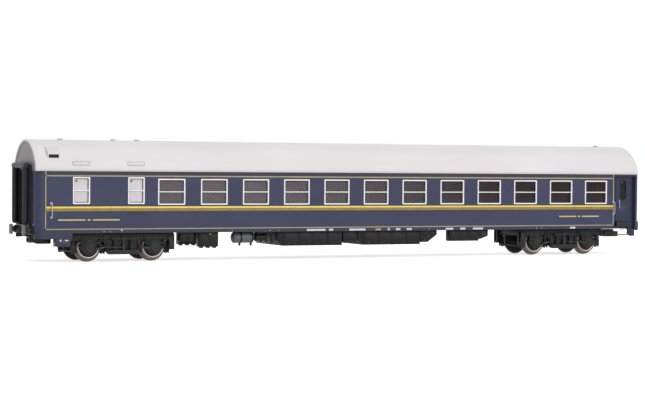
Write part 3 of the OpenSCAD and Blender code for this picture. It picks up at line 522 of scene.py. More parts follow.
for end, turn, body in BOGIES:
    frame_top = corners(f"{end}_bogie_frame")[1][2]
    bogie = bogie_shape(end, turn)
    side_outline = rounded([
        (OUTER_END_X, frame_top), (OUTER_END_X, BEAM_Z - 0.4), (-19.6, BEAM_Z - 0.2),
        (-17.1, BEAM_Z - 0.9), (-16.6, 4.5), (-12.1, 4.5), (-11.6, BEAM_Z - 0.9), (-8.4, BEAM_Z - 0.3), (-7.2, 4.4),
        (-SWING_HALF, 3.4), (SWING_HALF, 3.4), (7.2, 4.4), (8.4, BEAM_Z - 0.3),
        (11.6, BEAM_Z - 0.9), (12.1, 4.5), (16.6, 4.5), (17.1, BEAM_Z - 0.9), (19.6, BEAM_Z - 0.2),
        (20.95, BEAM_Z - 0.4), (20.95, 5.9), (INNER_END_X, 5.9), (INNER_END_X, frame_top),
    ], 0.35)
    bogie.both_sides(slab(side_outline, edges(FRAME_IN_Y, FRAME_OUT_Y, 0.15), "y"))
    # Channel lips, ribs and bolts of the beam
    bogie.boxes(
        (OUTER_END_X, FRAME_OUT_Y - 0.1, frame_top - 0.5),
        (INNER_END_X, FRAME_OUT_Y + 0.55, frame_top), 0.12, "x",
    )
    bogie.boxes(
        (-20.5, FRAME_OUT_Y - 0.1, BEAM_Z - 0.1), (21.5, FRAME_OUT_Y + 0.35, BEAM_Z + 0.3), 0.1, "x"
    )
    for x in (-21.2, -9.7, -8.3, 8.3, 9.7, 20.3, 22.4):
        bogie.boxes(
            (x - 0.22, FRAME_OUT_Y - 0.1, BEAM_Z), (x + 0.22, FRAME_OUT_Y + 0.4, frame_top - 0.2), 0.1
        )
    for x in (-19.6, -16.4, -12.3, -6.4, -4.8, 4.8, 6.4, 12.3, 16.4, 18.9):
        bogie.both_sides(bolt((x, FRAME_OUT_Y - 0.02, frame_top - 1.1), 0.22, 0.2))
    # Swing block with two coil springs, their seats, and an upright damper between them
    bogie.both_sides(slab(
        rounded([
            (-6.6, 3.2), (6.6, 3.2), (7.1, 4.3), (SWING_HALF, 5.0), (-SWING_HALF, 5.0), (-7.1, 4.3),
        ], 0.3),
        edges(FRAME_OUT_Y - 0.2, FRAME_OUT_Y + 1.5, 0.15), "y",
    ))
    bogie.boxes((-5.4, FRAME_OUT_Y - 0.2, 9.3), (5.4, FRAME_OUT_Y + 1.5, 10.2), 0.15, "x")
    for x in (-3.6, 3.6):
        centre = np.array((x, FRAME_OUT_Y + 0.75, 4.9))
        bogie.both_sides(coil(centre, 0.95, 0.2, 4.5, 5.5), 1)
        bogie.both_sides(turned([(0.5, 0), (0.5, 4.5)], centre, "z", 20))
        for z in (0, 4.2):
            bogie.both_sides(turned([(1.25, 0), (1.25, 0.3)], centre + (0, 0, z), "z", 28))
    damper = (0, FRAME_OUT_Y + 1.25, 4.6)
    bogie.both_sides(turned([
        (0.35, 0), (0.35, 0.5), (0.62, 0.6), (0.62, 3.1), (0.45, 3.2), (0.3, 3.3), (0.3, 5.3),
        (0.5, 5.4), (0.5, 6.0),
    ], damper, "z", 24), 1)
    # Swing links beside the block, and the anchor rod that runs to the outer axle
    for x in (-6.9, 6.9):
        bogie.boxes((x - 0.3, FRAME_OUT_Y - 0.1, 4.2), (x + 0.3, FRAME_OUT_Y + 0.6, BEAM_Z + 0.4), 0.12)
        bogie.both_sides(bolt((x, FRAME_OUT_Y + 0.5, 4.7), 0.35, 0.3, "y", 16))
    bogie.both_sides(tube(rounded([
        (-0.4, 13.9, 6.3), (-8.2, 13.9, 6.3), (-9.4, 13.2, 7.0), (-10.6, 12.5, 7.4),
    ], 0.5, closed=False), 0.22, 10), 1)
    # Brake gear box on the inner end, headstocks and bolster
    bogie.boxes((20.6, FRAME_IN_Y - 1.2, 5.0), (INNER_END_X, FRAME_OUT_Y + 0.6, frame_top - 0.6), 0.2)
    bogie.boxes((20.9, FRAME_OUT_Y + 0.5, 5.5), (22.9, FRAME_OUT_Y + 0.75, 8.6), 0.1, "y")
    for x in (-21.5, 21.5):
        stock_low = (x - 0.55, -FRAME_IN_Y - 0.2, BEAM_Z)
        stock_high = (x + 0.55, FRAME_IN_Y + 0.2, frame_top - 0.1)
        bogie.rings(block(stock_low, stock_high, 0.15, "y"))
    bolster = round_rect(10, 2 * FRAME_IN_Y + 0.4, 0.8)
    bogie.rings(slab(bolster, edges(8.6, frame_top + 0.1, 0.2), "z"))
    bogie.rings(turned([(4.2, 0), (4.2, 0.1), (4.0, 0.15)], (0, 0, frame_top), "z", 40))
    bogie.piece(f"{end}_bogie_moulding", f"{end}_bogie_frame", (bogie_black, spring_grey), body=body)


# ---- Axle boxes ---------------------------------------------------------------------------
# Over each axle's end sits a round bearing cover with a ring of bolts, held by a guide arm and
# carried by two small coil springs. A slim damper leans from it towards the swing block.

box_black = coated("axle_box_black", srgb(30, 30, 32), 0.18, 2.5, 0.42, 0.12, 0.008)
damper_blue = coated("damper_blue_grey", srgb(42, 45, 50), 0.12, 2.0, 0.38)
BOLT_CIRCLE_R = 2.72
SPRING_OFFSET = 3.95
DAMPER_Y = FRAME_OUT_Y + 1.15

for end, turn, body in BOGIES:
    boxes = bogie_shape(end, turn)
    for axle_x in (-BOGIE_AXLE_X, BOGIE_AXLE_X):
        inward = -np.sign(axle_x)
        centre = (axle_x, FRAME_OUT_Y - 0.05, AXLE_Z)
        boxes.both_sides(turned([
            (3.1, 0), (3.1, 0.34), (2.95, 0.46), (2.55, 0.5), (2.45, 0.42), (2.3, 0.45),
            (2.22, 0.8), (2.05, 0.93), (1.35, 0.95), (1.25, 0.88), (0.75, 0.88), (0.68, 1.0),
            (0.4, 1.05),
        ], centre, "y", 56))
        for step in range(8):
            angle = 2 * np.pi * (step + 0.5) / 8
            head_x = axle_x + BOLT_CIRCLE_R * np.cos(angle)
            head = (head_x, FRAME_OUT_Y + 0.38, AXLE_Z + BOLT_CIRCLE_R * np.sin(angle))
            boxes.both_sides(bolt(head, 0.19, 0.16))
        # Arms to both springs, with the spring seats and the springs on them
        arm = rounded([
            (axle_x - 5.0, 6.6), (axle_x - 2.0, 4.0), (axle_x + 2.0, 4.0), (axle_x + 5.0, 6.6),
            (axle_x + 5.0, 7.4), (axle_x + 2.4, 7.9), (axle_x - 2.4, 7.9), (axle_x - 5.0, 7.4),
        ], 0.5)
        boxes.both_sides(slab(arm, edges(FRAME_OUT_Y - 0.3, FRAME_OUT_Y + 0.25, 0.1), "y"))
        for offset in (-SPRING_OFFSET, SPRING_OFFSET):
            seat = np.array((axle_x + offset, FRAME_OUT_Y + 0.75, 7.1))
            boxes.both_sides(coil(seat, 0.62, 0.15, 2.1, 4.5), 1)
            boxes.both_sides(turned([(0.35, 0), (0.35, 2.1)], seat, "z", 16))
            for z in (-0.15, 2.0):
                plate = [(0.85, 0), (0.85, 0.22), (0.7, 0.3)]
                boxes.both_sides(turned(plate, seat + (0, 0, z), "z", 24))
        # Damper from the box to the beam
        start = np.array((axle_x + inward * 2.3, DAMPER_Y, 5.6))
        finish = np.array((axle_x + inward * 7.2, DAMPER_Y, 6.6))
        share = np.array([0, 0.12, 0.13, 0.62, 0.63, 1.0])[:, None]
        radius = [0.3, 0.3, 0.55, 0.55, 0.28, 0.28]
        boxes.both_sides(tube(start + share * (finish - start), radius, 16), 2)
        for x, _, z in (start, finish):
            eye = (x, FRAME_OUT_Y + 0.3, z)
            boxes.both_sides(turned([(0.5, 0), (0.5, 1.2), (0.35, 1.3)], eye, "y", 20))
    boxes.piece(
        f"{end}_axle_box_covers", f"{end}_bogie_axle_boxes", (box_black, spring_grey, damper_blue),
        body=body,
    )


# ---- Brakes and bogie screws --------------------------------------------------------------
# Curved cast shoes hang on both sides of every wheel from thin hangers, with a cross bar to the
# far side. One plated screw with a wide head holds each bogie to the floor.

SHOE_IN_Y, SHOE_OUT_Y = 8.3, 9.9
SHOE_IN_R, SHOE_OUT_R = 5.75, 6.6
BAR_Z = 4.4
shoe_iron = coated("shoe_iron", srgb(58, 54, 52), 0.25, 1.5, 0.6, 0.12, 0.015, metallic=0.3)
screw_steel = coated("screw_steel", srgb(150, 150, 154), 0.08, 2.0, 0.3, 0.1, 0.004, metallic=1)

for end, turn, body in BOGIES:
    brakes = bogie_shape(end, turn)
    for axle_x in (-BOGIE_AXLE_X, BOGIE_AXLE_X):
        for side in (-1, 1):
            angle = np.radians(np.linspace(-26, 20, 9))
            inner, outer = [
                np.stack([axle_x + side * r * np.cos(angle), AXLE_Z + r * np.sin(angle)], axis=1)
                for r in (SHOE_IN_R, SHOE_OUT_R)
            ]
            shoe = np.concatenate([inner, outer[::-1]])
            brakes.both_sides(slab(shoe, edges(SHOE_IN_Y, SHOE_OUT_Y, 0.12), "y"), 1)
            hanger = rounded([
                (axle_x + side * 6.4, 3.7), (axle_x + side * 7.1, 3.2), (axle_x + side * 7.5, 5.0),
                (axle_x + side * 7.2, 9.3), (axle_x + side * 6.2, 9.3), (axle_x + side * 6.5, 5.4),
            ], 0.15)
            for y in (SHOE_IN_Y - 0.1, SHOE_OUT_Y + 0.12):
                brakes.both_sides(slab(hanger, edges(y - 0.2, y + 0.2, 0.08), "y"))
            brakes.both_sides(bolt((axle_x + side * 6.8, SHOE_OUT_Y + 0.3, BAR_Z), 0.28, 0.25))
            bar_x = axle_x + side * 7.0
            brakes.rings(tube([(bar_x, -SHOE_OUT_Y, BAR_Z), (bar_x, SHOE_OUT_Y, BAR_Z)], 0.3, 12))
    brakes.piece(f"{end}_brake_shoes", f"{end}_bogie_brakes", (bogie_black, shoe_iron), body=body)
    dress(f"{end}_bogie_screw", screw_steel)


# ---- Underframe ---------------------------------------------------------------------------
# The floor, the buffer beams and the couplers are black mouldings, dull and slightly dusty.
# Slim brake and heating pipes run under the floor between the bogies, held by small clips.

floor_black = coated("floor_black", srgb(27, 26, 28), 0.25, 6.0, 0.55, 0.15, 0.012)
coupler_black = coated("coupler_black", srgb(46, 45, 47), 0.2, 2.5, 0.42)
for node in ("underframe", "frame_castings"):
    dress(node, floor_black)
for node in ("front_coupler", "rear_coupler"):
    dress(node, coupler_black)

case_high = corners("equipment_case_1")[1]
FLOOR_Z = case_high[2]

pipes = Shape()
for y, z, radius in ((9.2, FLOOR_Z - 0.7, 0.35), (7.9, FLOOR_Z - 0.6, 0.25)):
    ends = np.array([(-83.0, y, z), (83.5, y, z)])
    pipes.both_sides(tube(ends, radius, 12))
    for x in np.arange(-80, 81, 16):
        pipes.boxes((x - 0.4, y - 0.6, z - 0.5), (x + 0.4, y + 0.6, FLOOR_Z + 0.05), 0.1)
pipes.piece("floor_pipes", "underframe", (floor_black,), replaces=())


# ---- Underfloor equipment -----------------------------------------------------------------
# Black plastic mouldings glued under the floor: boxes with hinged doors, a brake cylinder with
# its levers and two long cases. The banded air tank and the lockers are on the -Y side alone.

EQUIPMENT_Y = case_high[1]
BOX_DEPTH = 4.0
TOP_RAIL_H = 0.9
TANK_R = 2.4
CASE_CUT = 2.4

case_black = coated(
    "case_black", srgb(21, 21, 22), 0.22, 7.0, 0.42, 0.12, 0.008, specular_ior_level=0.22
)
tank_grey = coated("tank_grey", srgb(98, 98, 102), 0.08, 4.0, 0.38, 0.12, 0.006)
latch_grey = coated("latch_grey", srgb(62, 62, 66), 0.1, 1.0, 0.35)
dot_yellow = coated("dot_yellow", srgb(214, 196, 96), 0.06, 0.5, 0.5)


def box_with_doors(add, low_x, high_x, low_z, doors):
    """Adds a box under the floor with bevelled doors, their hinges and latches, and a top rail.
    The first value is the shape's own function that adds rings, on one side or on both."""
    face = EQUIPMENT_Y
    add(block((low_x, face - BOX_DEPTH, low_z), (high_x, face - 0.15, FLOOR_Z), 0.3, "x"))
    rail_low = (low_x + 0.1, face - 0.3, FLOOR_Z - 0.6)
    add(block(rail_low, (high_x - 0.1, face + 0.1, FLOOR_Z), 0.1, "x"))
    width = (high_x - low_x - 0.5) / doors
    height = FLOOR_Z - TOP_RAIL_H - low_z - 0.3
    for number in range(doors):
        middle = low_x + 0.25 + width * (number + 0.5)
        centre = (middle, FLOOR_Z - TOP_RAIL_H - height / 2)
        add(slab(round_rect(width - 0.3, height, 0.25, centre), edges(face - 0.3, face, 0.08), "y"))
        if width > 2.4:
            inner = round_rect(width - 1.2, height - 1.0, 0.2, centre)
            add(slab(inner, edges(face - 0.2, face + 0.07, 0.06), "y"))
        add(block(
            (middle - 0.3, face - 0.1, centre[1] - height / 2 + 0.15),
            (middle + 0.3, face + 0.16, centre[1] - height / 2 + 0.45), 0.06, "y",
        ), 1)
        for side in (-1, 1):
            hinge_x = middle + side * (width / 2 - 0.75)
            hinge_z = centre[1] + height / 2 - 0.15
            add(tube([(hinge_x - 0.25, face, hinge_z), (hinge_x + 0.25, face, hinge_z)], 0.13, 8))


heaters = Shape()
low, high = corners("heater_boxes")
box_with_doors(heaters.both_sides, low[0], high[0], low[2], 2)
heaters.piece("heater_box_mouldings", "heater_boxes", (case_black, latch_grey))

batteries = Shape()
low, high = corners("battery_boxes")
box_with_doors(batteries.both_sides, low[0], high[0], low[2] + 0.6, 2)
for share in (0.16, 0.51, 0.84):
    x = low[0] + share * (high[0] - low[0])
    batteries.boxes(
        (x - 0.5, EQUIPMENT_Y - 3.6, low[2]), (x + 0.5, EQUIPMENT_Y - 0.3, low[2] + 0.9), 0.15
    )
stud_x = low[0] + 0.56 * (high[0] - low[0])
batteries.both_sides(bolt((stud_x, EQUIPMENT_Y + 0.02, low[2] + 6.0), 0.32, 0.12, "y", 16), 2)
batteries.piece("battery_box_mouldings", "battery_boxes", (case_black, latch_grey, dot_yellow))

tanks = Shape((1, -1, 1))
low, high = corners("air_tank")
tank_y = EQUIPMENT_Y - TANK_R
tank_z = FLOOR_Z - 1 - TANK_R
dome = np.radians(np.linspace(0, 80, 9))
dome_r, dome_x = TANK_R * np.sin(dome) + 0.05, 1.3 * (1 - np.cos(dome))
tank_profile = np.concatenate([
    np.stack([dome_r, low[0] + dome_x], axis=1),
    [(TANK_R, low[0] + 1.45), (TANK_R, high[0] - 1.45)],
    np.stack([dome_r, high[0] - dome_x], axis=1)[::-1],
])
tanks.rings(turned(tank_profile, (0, tank_y, tank_z), "x", 64))
for x in (low[0] + 3.9, high[0] - 1.3):
    band = [
        (TANK_R - 0.1, x - 0.45), (TANK_R + 0.1, x - 0.4), (TANK_R + 0.1, x + 0.4),
        (TANK_R - 0.1, x + 0.45),
    ]
    tanks.rings(turned(band, (0, tank_y, tank_z), "x", 64), 1)
    for half_x, half_y, low_z, high_z in (
        (0.4, 1.3, tank_z + 1.2, FLOOR_Z), (0.35, 0.6, low[2], tank_z - TANK_R + 0.15)
    ):
        tanks.rings(block(
            (x - half_x, tank_y - half_y, low_z), (x + half_x, tank_y + half_y, high_z), 0.15
        ), 1)
for x in (low[0] + 1.45, high[0] - 1.45):
    seam = [
        (TANK_R - 0.1, x - 0.12), (TANK_R + 0.05, x - 0.07), (TANK_R + 0.05, x + 0.07),
        (TANK_R - 0.1, x + 0.12),
    ]
    tanks.rings(turned(seam, (0, tank_y, tank_z), "x", 64))
tanks.rings(tube(rounded([
    (high[0] - 0.3, tank_y, tank_z), (high[0] + 0.9, tank_y, tank_z),
    (high[0] + 0.9, tank_y, FLOOR_Z + 0.1),
], 0.5, closed=False), 0.3, 12), 1)
tanks.piece("air_tank_mouldings", "air_tank", (tank_grey, case_black))

brake_gear = Shape()
low, high = corners("brake_cylinders")
gear_y, gear_z = EQUIPMENT_Y - 2.4, FLOOR_Z - 3.4
gear_x = low[0] + 0.6 * (high[0] - low[0])
brake_gear.both_sides(turned([
    (0.9, low[0]), (1.5, low[0] + 0.15), (1.8, low[0] + 0.5), (1.8, low[0] + 0.9),
    (1.65, low[0] + 1.0), (1.65, gear_x - 0.9), (1.8, gear_x - 0.8), (1.8, gear_x - 0.2),
    (1.5, gear_x), (0.8, gear_x + 0.25), (0.5, gear_x + 0.3),
], (0, gear_y, gear_z), "x", 48))
brake_gear.both_sides(tube([(gear_x, gear_y, gear_z), (high[0] - 0.3, gear_y, gear_z)], 0.32, 14), 1)
for step in range(6):
    angle = 2 * np.pi * step / 6
    head = (low[0] + 0.02, gear_y + 1.25 * np.cos(angle), gear_z + 1.25 * np.sin(angle))
    brake_gear.both_sides(turned([(0.2, 0), (0.2, -0.15), (0.14, -0.2)], head, "x", 6))
brake_gear.boxes((low[0] + 1.0, gear_y - 0.9, gear_z), (low[0] + 2.4, gear_y + 0.8, FLOOR_Z), 0.15)
lever = rounded([
    (high[0] - 1.7, FLOOR_Z), (high[0] - 1.5, gear_z - 2.6), (high[0] - 0.9, gear_z - 3.2),
    (high[0] - 0.4, gear_z - 2.6), (high[0] - 0.3, FLOOR_Z),
], 0.3)
for low_y, high_y in ((gear_y - 0.7, gear_y - 0.2), (gear_y + 0.2, gear_y + 0.7)):
    brake_gear.both_sides(slab(lever, edges(low_y, high_y, 0.1), "y"))
for z in (gear_z, gear_z - 2.4):
    brake_gear.both_sides(bolt((high[0] - 0.95, gear_y + 0.65, z), 0.38, 0.3, "y", 16), 1)
for x in (low[0] + 2.4, low[0] + 5.2):
    brake_gear.boxes((x, gear_y - 0.3, gear_z - 2.2), (x + 1.1, gear_y + 0.9, gear_z - 1.2), 0.2)
brake_gear.piece("brake_cylinder_mouldings", "brake_cylinders", (case_black, spring_grey))

for name in ("equipment_case_1", "equipment_case_2"):
    low, high = corners(name)
    case = Shape()
    outline = rounded([
        (low[0], high[2]), (low[0], low[2] + CASE_CUT), (low[0] + CASE_CUT, low[2]),
        (high[0], low[2]), (high[0], high[2]),
    ], 0.3)
    case.rings(slab(outline, edges(low[1] + 0.2, high[1] - 0.2, 0.25), "y"))
    case.boxes(
        (low[0] + 0.1, high[1] - 0.4, high[2] - 0.7), (high[0] - 0.1, high[1] + 0.12, high[2]), 0.1,
        "x", 1,
    )
    case.boxes(
        (low[0] + CASE_CUT, high[1] - 0.4, low[2]),
        (high[0] - 0.1, high[1] + 0.05, low[2] + 0.5), 0.1, "x",
    )
    # Corner post with louvres at the cut-back end, then four doors with a heavy rib between pairs
    case.boxes((low[0] + 2.6, high[1] - 0.4, low[2]), (low[0] + 3.2, high[1] + 0.1, high[2]), 0.1)
    for number in range(5):
        z = low[2] + 2.6 + number * 0.75
        case.boxes(
            (low[0] + 0.6, high[1] - 0.35, z), (low[0] + 2.3, high[1] + 0.02, z + 0.35), 0.1, "x"
        )
    doors_x0 = low[0] + 3.5
    width = (high[0] - doors_x0 - 0.3) / 4
    height = high[2] - low[2] - 1.9
    centre_z = low[2] + 0.8 + height / 2
    for number in range(4):
        middle = doors_x0 + width * (number + 0.5)
        door = round_rect(width - 0.35, height, 0.25, (middle, centre_z))
        case.both_sides(slab(door, edges(high[1] - 0.4, high[1], 0.08), "y"))
        panel = round_rect(width - 1.5, height - 1.4, 0.25, (middle, centre_z))
        case.both_sides(slab(panel, edges(high[1] - 0.1, high[1] + 0.08, 0.06), "y"))
        for side in (-1, 1):
            case.boxes(
                (middle + side * 1.6 - 0.22, high[1] - 0.05, centre_z - height / 2 + 0.15),
                (middle + side * 1.6 + 0.22, high[1] + 0.18, centre_z - height / 2 + 0.6), 0.07, "y", 2,
            )
    rib_x = doors_x0 + 2 * width
    case.boxes((rib_x - 0.3, high[1] - 0.4, low[2]), (rib_x + 0.3, high[1] + 0.12, high[2]), 0.12)
    case.piece(f"{name}_moulding", name, (case_black, spring_grey, latch_grey))

junctions = Shape()
low, high = corners("junction_boxes")
box_with_doors(junctions.both_sides, low[0], high[0], low[2], 1)
for x in np.linspace(low[0] + 1.2, high[0] - 1.2, 4):
    gland = [(x, EQUIPMENT_Y - 0.6, low[2] + 0.3), (x, EQUIPMENT_Y - 0.6, low[2] - 0.5)]
    junctions.both_sides(tube(gland, 0.3, 10))
junctions.piece("junction_box_mouldings", "junction_boxes", (case_black, latch_grey))

brackets = Shape()
low, high = corners("pipe_brackets")
outline = rounded([
    (low[0], high[2]), (low[0], low[2]), (low[0] + 3.7, low[2]), (high[0], low[2] + 3.3),
    (high[0], high[2]),
], 0.3)
for y in (EQUIPMENT_Y - 2.2, EQUIPMENT_Y - 0.7):
    brackets.both_sides(slab(outline, edges(y - 0.2, y + 0.2, 0.1), "y"))
brackets.boxes((low[0], EQUIPMENT_Y - 2.3, low[2]), (low[0] + 0.6, EQUIPMENT_Y - 0.6, high[2]), 0.1)
for share, z in ((0.25, low[2] + 1.0), (0.45, low[2] + 2.6), (0.75, low[2] + 4.2)):
    x = low[0] + share * (high[0] - low[0])
    brackets.both_sides(tube([(x, EQUIPMENT_Y - 3.2, z), (x, EQUIPMENT_Y - 0.25, z)], 0.4, 16), 1)
brackets.piece("pipe_bracket_mouldings", "pipe_brackets", (case_black, spring_grey))

lockers = Shape((1, -1, 1))
low, high = corners("tool_lockers")
box_with_doors(lockers.rings, low[0], high[0], low[2], 3)
lockers.piece("tool_locker_mouldings", "tool_lockers", (case_black, latch_grey))

cables = Shape()
low, high = corners("cable_brackets")
outline = rounded([
    (low[0], high[2]), (low[0], low[2]), (low[0] + 1.0, low[2]), (high[0], low[2] + 1.4),
    (high[0], high[2]),
], 0.3)
cables.both_sides(slab(outline, edges(EQUIPMENT_Y - 2.2, EQUIPMENT_Y - 1.0, 0.12), "y"))
middle = ((low[0] + high[0]) / 2, EQUIPMENT_Y - 1.05, high[2] - 2.7)
socket = [(1.2, 0), (1.2, 0.25), (0.9, 0.35), (0.5, 0.35), (0.5, 0.6)]
cables.both_sides(turned(socket, middle, "y", 32), 1)
cables.both_sides(tube(rounded([
    middle, (middle[0] + 1.8, middle[1], middle[2] - 0.9),
    (middle[0] + 2.6, middle[1], FLOOR_Z + 0.1),
], 0.7, closed=False), 0.25, 10))
cables.piece("cable_bracket_mouldings", "cable_brackets", (case_black, spring_grey))


# ---- Body shell ---------------------------------------------------------------------------
# One thin moulding for both sides and both ends, sprayed dark blue with a satin lacquer. The
# doors sit in recesses at the entrance end, and aprons hang below the corners.

WALL_T = 1.2
CORNER_R = 3.0
REAR_CORNER_R = 0.5
HOLE_LAP = 0.4
APRON_X = -132.5
WINDOWS = 12
WINDOW_W, TOILET_W = 12.3, 7.4
RECESS_DEPTH = 1.7
END_POST = 1.3
DOOR_W = 8.6

shell_low, shell_high = corners("body_shell")
shell_high_z = shell_high[2]
half_l, half_w = shell_high[0], shell_high[1]
glass_low, glass_high = corners("compartment_glazing")
pane_low, pane_high = corners("toilet_panes")
recess_low_x = half_l - 13.1
recess_high_x = half_l - END_POST
recess_y = half_w - RECESS_DEPTH
leaf_low, leaf_high = corners("entrance_doors")
door_low_x, door_high_x = leaf_low[0] - 0.05, leaf_high[0] + 0.05
door_low_z, door_high_z = leaf_low[2] - 0.05, leaf_high[2] + 0.05
first_window_x = glass_low[0] + WINDOW_W / 2 + 1.2
last_window_x = glass_high[0] - WINDOW_W / 2 - 1.2
window_x = np.linspace(first_window_x, last_window_x, WINDOWS)
window_z = (glass_low[2] + 0.8, glass_high[2] - 0.8)
toilet_x = (pane_low[0] + TOILET_W / 2, pane_high[0] - TOILET_W / 2)
toilet_z = (pane_low[2], pane_high[2])
skirt_z = FLOOR_Z - 0.9
recess_top_z = shell_high_z - 0.9
window_rows = ((window_x, WINDOW_W, window_z), (toilet_x, TOILET_W, toilet_z))
end_door_half = 6.8
end_door_top_z = shell_high_z - 0.8
beam_half = 13.2
beam_top_z = FLOOR_Z + 2.0


def plan_line():
    """Half of the shell's plan, from the middle of the front end round to the middle of the rear
    end: for each station its outer point, its inner point, and its outer point above the door."""
    outer, inner, above = [], [], []

    def station(x, y, in_x, in_y, high=None):
        outer.append((x, y))
        inner.append((in_x, in_y))
        above.append(high or (x, y))

    inside_x, inside_y = half_l - WALL_T, half_w - WALL_T
    for y in (0, end_door_half, beam_half, half_w - CORNER_R):
        station(-half_l, y, -inside_x, y)
    for angle in np.radians(np.arange(10, 91, 10)):
        c, s = np.cos(angle), np.sin(angle)
        middle_x, middle_y = -half_l + CORNER_R, half_w - CORNER_R
        inner_r = CORNER_R - WALL_T
        station(
            middle_x - CORNER_R * c, middle_y + CORNER_R * s,
            middle_x - inner_r * c, middle_y + inner_r * s,
        )
    holes = [(x, TOILET_W) for x in toilet_x] + [(x, WINDOW_W) for x in window_x]
    stops = [APRON_X] + [x + side * (w / 2 - HOLE_LAP) for x, w in holes for side in (-1, 1)]
    for x in sorted(stops):
        station(x, half_w, x, inside_y)
    recess_in_y = recess_y - WALL_T
    station(recess_low_x, half_w, recess_low_x - 1, inside_y)
    station(recess_low_x, recess_y, recess_low_x - 1, recess_in_y, (recess_low_x + 0.8, half_w))
    for x in (door_low_x, door_high_x):
        station(x, recess_y, x, recess_in_y, (x, half_w))
    corner_x, corner_y = half_l - REAR_CORNER_R, half_w - REAR_CORNER_R
    station(recess_high_x, recess_y, recess_high_x, recess_in_y, (recess_high_x - 0.4, half_w))
    station(recess_high_x, half_w, inside_x, recess_in_y)
    for angle in np.linspace(np.pi / 2, 0, 7):
        round_x = corner_x + REAR_CORNER_R * math.cos(angle)
        round_y = corner_y + REAR_CORNER_R * math.sin(angle)
        station(round_x, round_y, inside_x, recess_in_y)
    for y in (beam_half, end_door_half, 0):
        station(half_l, y, inside_x, y)
    return np.array(outer), np.array(inner), np.array(above)


def shell_wall():
    """Points and faces of the walls: a grid of plan stations by heights, with the cells of each
    opening left out, an inner skin behind it, and a rim wherever a kept cell has no neighbour."""
    outer, inner, above = [
        np.concatenate([line, line[-2:0:-1] * (1, -1)]) for line in plan_line()
    ]
    heights = np.array([
        10.0, skirt_z, beam_top_z, door_low_z, window_z[0] + HOLE_LAP,
        toilet_z[0] + HOLE_LAP, window_z[1] - HOLE_LAP, toilet_z[1] - HOLE_LAP, door_high_z,
        recess_top_z, recess_top_z, end_door_top_z, shell_high_z,
    ])
    at_top = np.arange(len(heights)) > len(heights) - 4
    plan = np.where(at_top[:, None, None], above, outer)
    height = np.broadcast_to(heights[:, None, None], (*plan.shape[:2], 1))
    skin = np.concatenate([plan, height], axis=-1)
    lining = np.concatenate([np.broadcast_to(inner, plan.shape), height], axis=-1)

    here, ahead = plan[:-1], np.roll(plan, -1, axis=1)[:-1]
    x, y = np.moveaxis((here + ahead) / 2, -1, 0)
    y = np.abs(y)
    z = (heights[:-1] + heights[1:])[:, None] / 2 + 0 * x
    kept = (z > skirt_z) | ((x < APRON_X) & (y > half_w - CORNER_R))
    at_end = np.abs(x) > half_l - 0.01
    kept &= ~(at_end & (y < beam_half) & (z < beam_top_z))
    kept &= ~(at_end & (y < end_door_half) & (z < end_door_top_z))
    in_side = y > half_w - 0.01
    for middles, width, (low_z, high_z) in window_rows:
        near = np.abs(x[..., None] - np.asarray(middles)).min(axis=-1) < width / 2 - HOLE_LAP
        kept &= ~(in_side & near & (z > low_z + HOLE_LAP) & (z < high_z - HOLE_LAP))
    in_recess = np.abs(y - recess_y) < 0.01
    in_doorway = (x > door_low_x) & (x < door_high_x) & (z > door_low_z) & (z < door_high_z)
    kept &= ~(in_recess & in_doorway)

    rows, columns = plan.shape[:2]
    index = np.arange(rows * columns).reshape(rows, columns)
    right = np.roll(index, -1, axis=1)
    a, b, c, d = index[:-1], right[:-1], right[1:], index[1:]
    behind = rows * columns
    faces = [np.stack([a, b, c, d], -1)[kept], np.stack([a, d, c, b], -1)[kept] + behind]
    nothing = np.zeros((1, columns), bool)
    for first, second, beside in (
        (a, b, np.concatenate([nothing, kept[:-1]])),
        (c, d, np.concatenate([kept[1:], nothing])),
        (b, c, np.roll(kept, -1, axis=1)),
        (d, a, np.roll(kept, 1, axis=1)),
    ):
        edge = kept & ~beside
        faces.append(np.stack([second, first, first + behind, second + behind], -1)[edge])
    return np.stack([skin, lining]), np.concatenate(faces).tolist()


# Blue lacquer with a faint orange peel. The band under the gutter is darker with painted shade from the
# roof's overhang, the skirt is painted a darker grey-blue, and the entrance recess is darker with painted shade
body_blue = Finish("coach_blue", specular_ior_level=0.24, coat_weight=0.05, coat_roughness=0.18)
x, y, z = body_blue.axes()
drift = body_blue.noise(22, 4, (2.5, 1, 1))
peel = body_blue.noise(0.5, 2)
blue = body_blue.mix(body_blue.step(drift, 0.35, 0.65), srgb(53, 56, 83), srgb(59, 62, 89))
# Painted shade under the roof's overhang: the wall is a darker grey-blue above z 36.75 mm
shaded = body_blue.mix(body_blue.step(z, 36.55, 36.75), blue, srgb(54, 54, 66))
skirted = body_blue.mix(1 - body_blue.step(z, 13.4, 13.9), shaded, srgb(54, 54, 72))
wall_y = 15.6 - 1.3 * body_blue.step(x, 134.4, 134.9)
inside = body_blue.step(y.math("ABSOLUTE", y, 0) - wall_y, -0.1, 0.1)
at_ends = body_blue.step(x * x, 147.3 ** 2, 147.6 ** 2)
outside = inside + at_ends
# Painted shade: the wall and the door leaves in the entrance recess are a darker blue
recessed = body_blue.within(x, 135.3, 146.9) * (1 - body_blue.step(y * y, 15.6 ** 2, 16.4 ** 2))
in_shade = body_blue.mix(recessed, skirted, srgb(46, 50, 76))
body_blue.set(
    base_color=body_blue.mix(outside, srgb(48, 46, 50), in_shade),
    roughness=0.3 + 0.12 * drift,
)
body_blue.relief(peel, 0.004)

shell = Shape()
points, faces = shell_wall()
shell.add(points, faces, [0] * len(faces))
shell.piece("coach_walls", "body_shell", (body_blue,), weld=True)

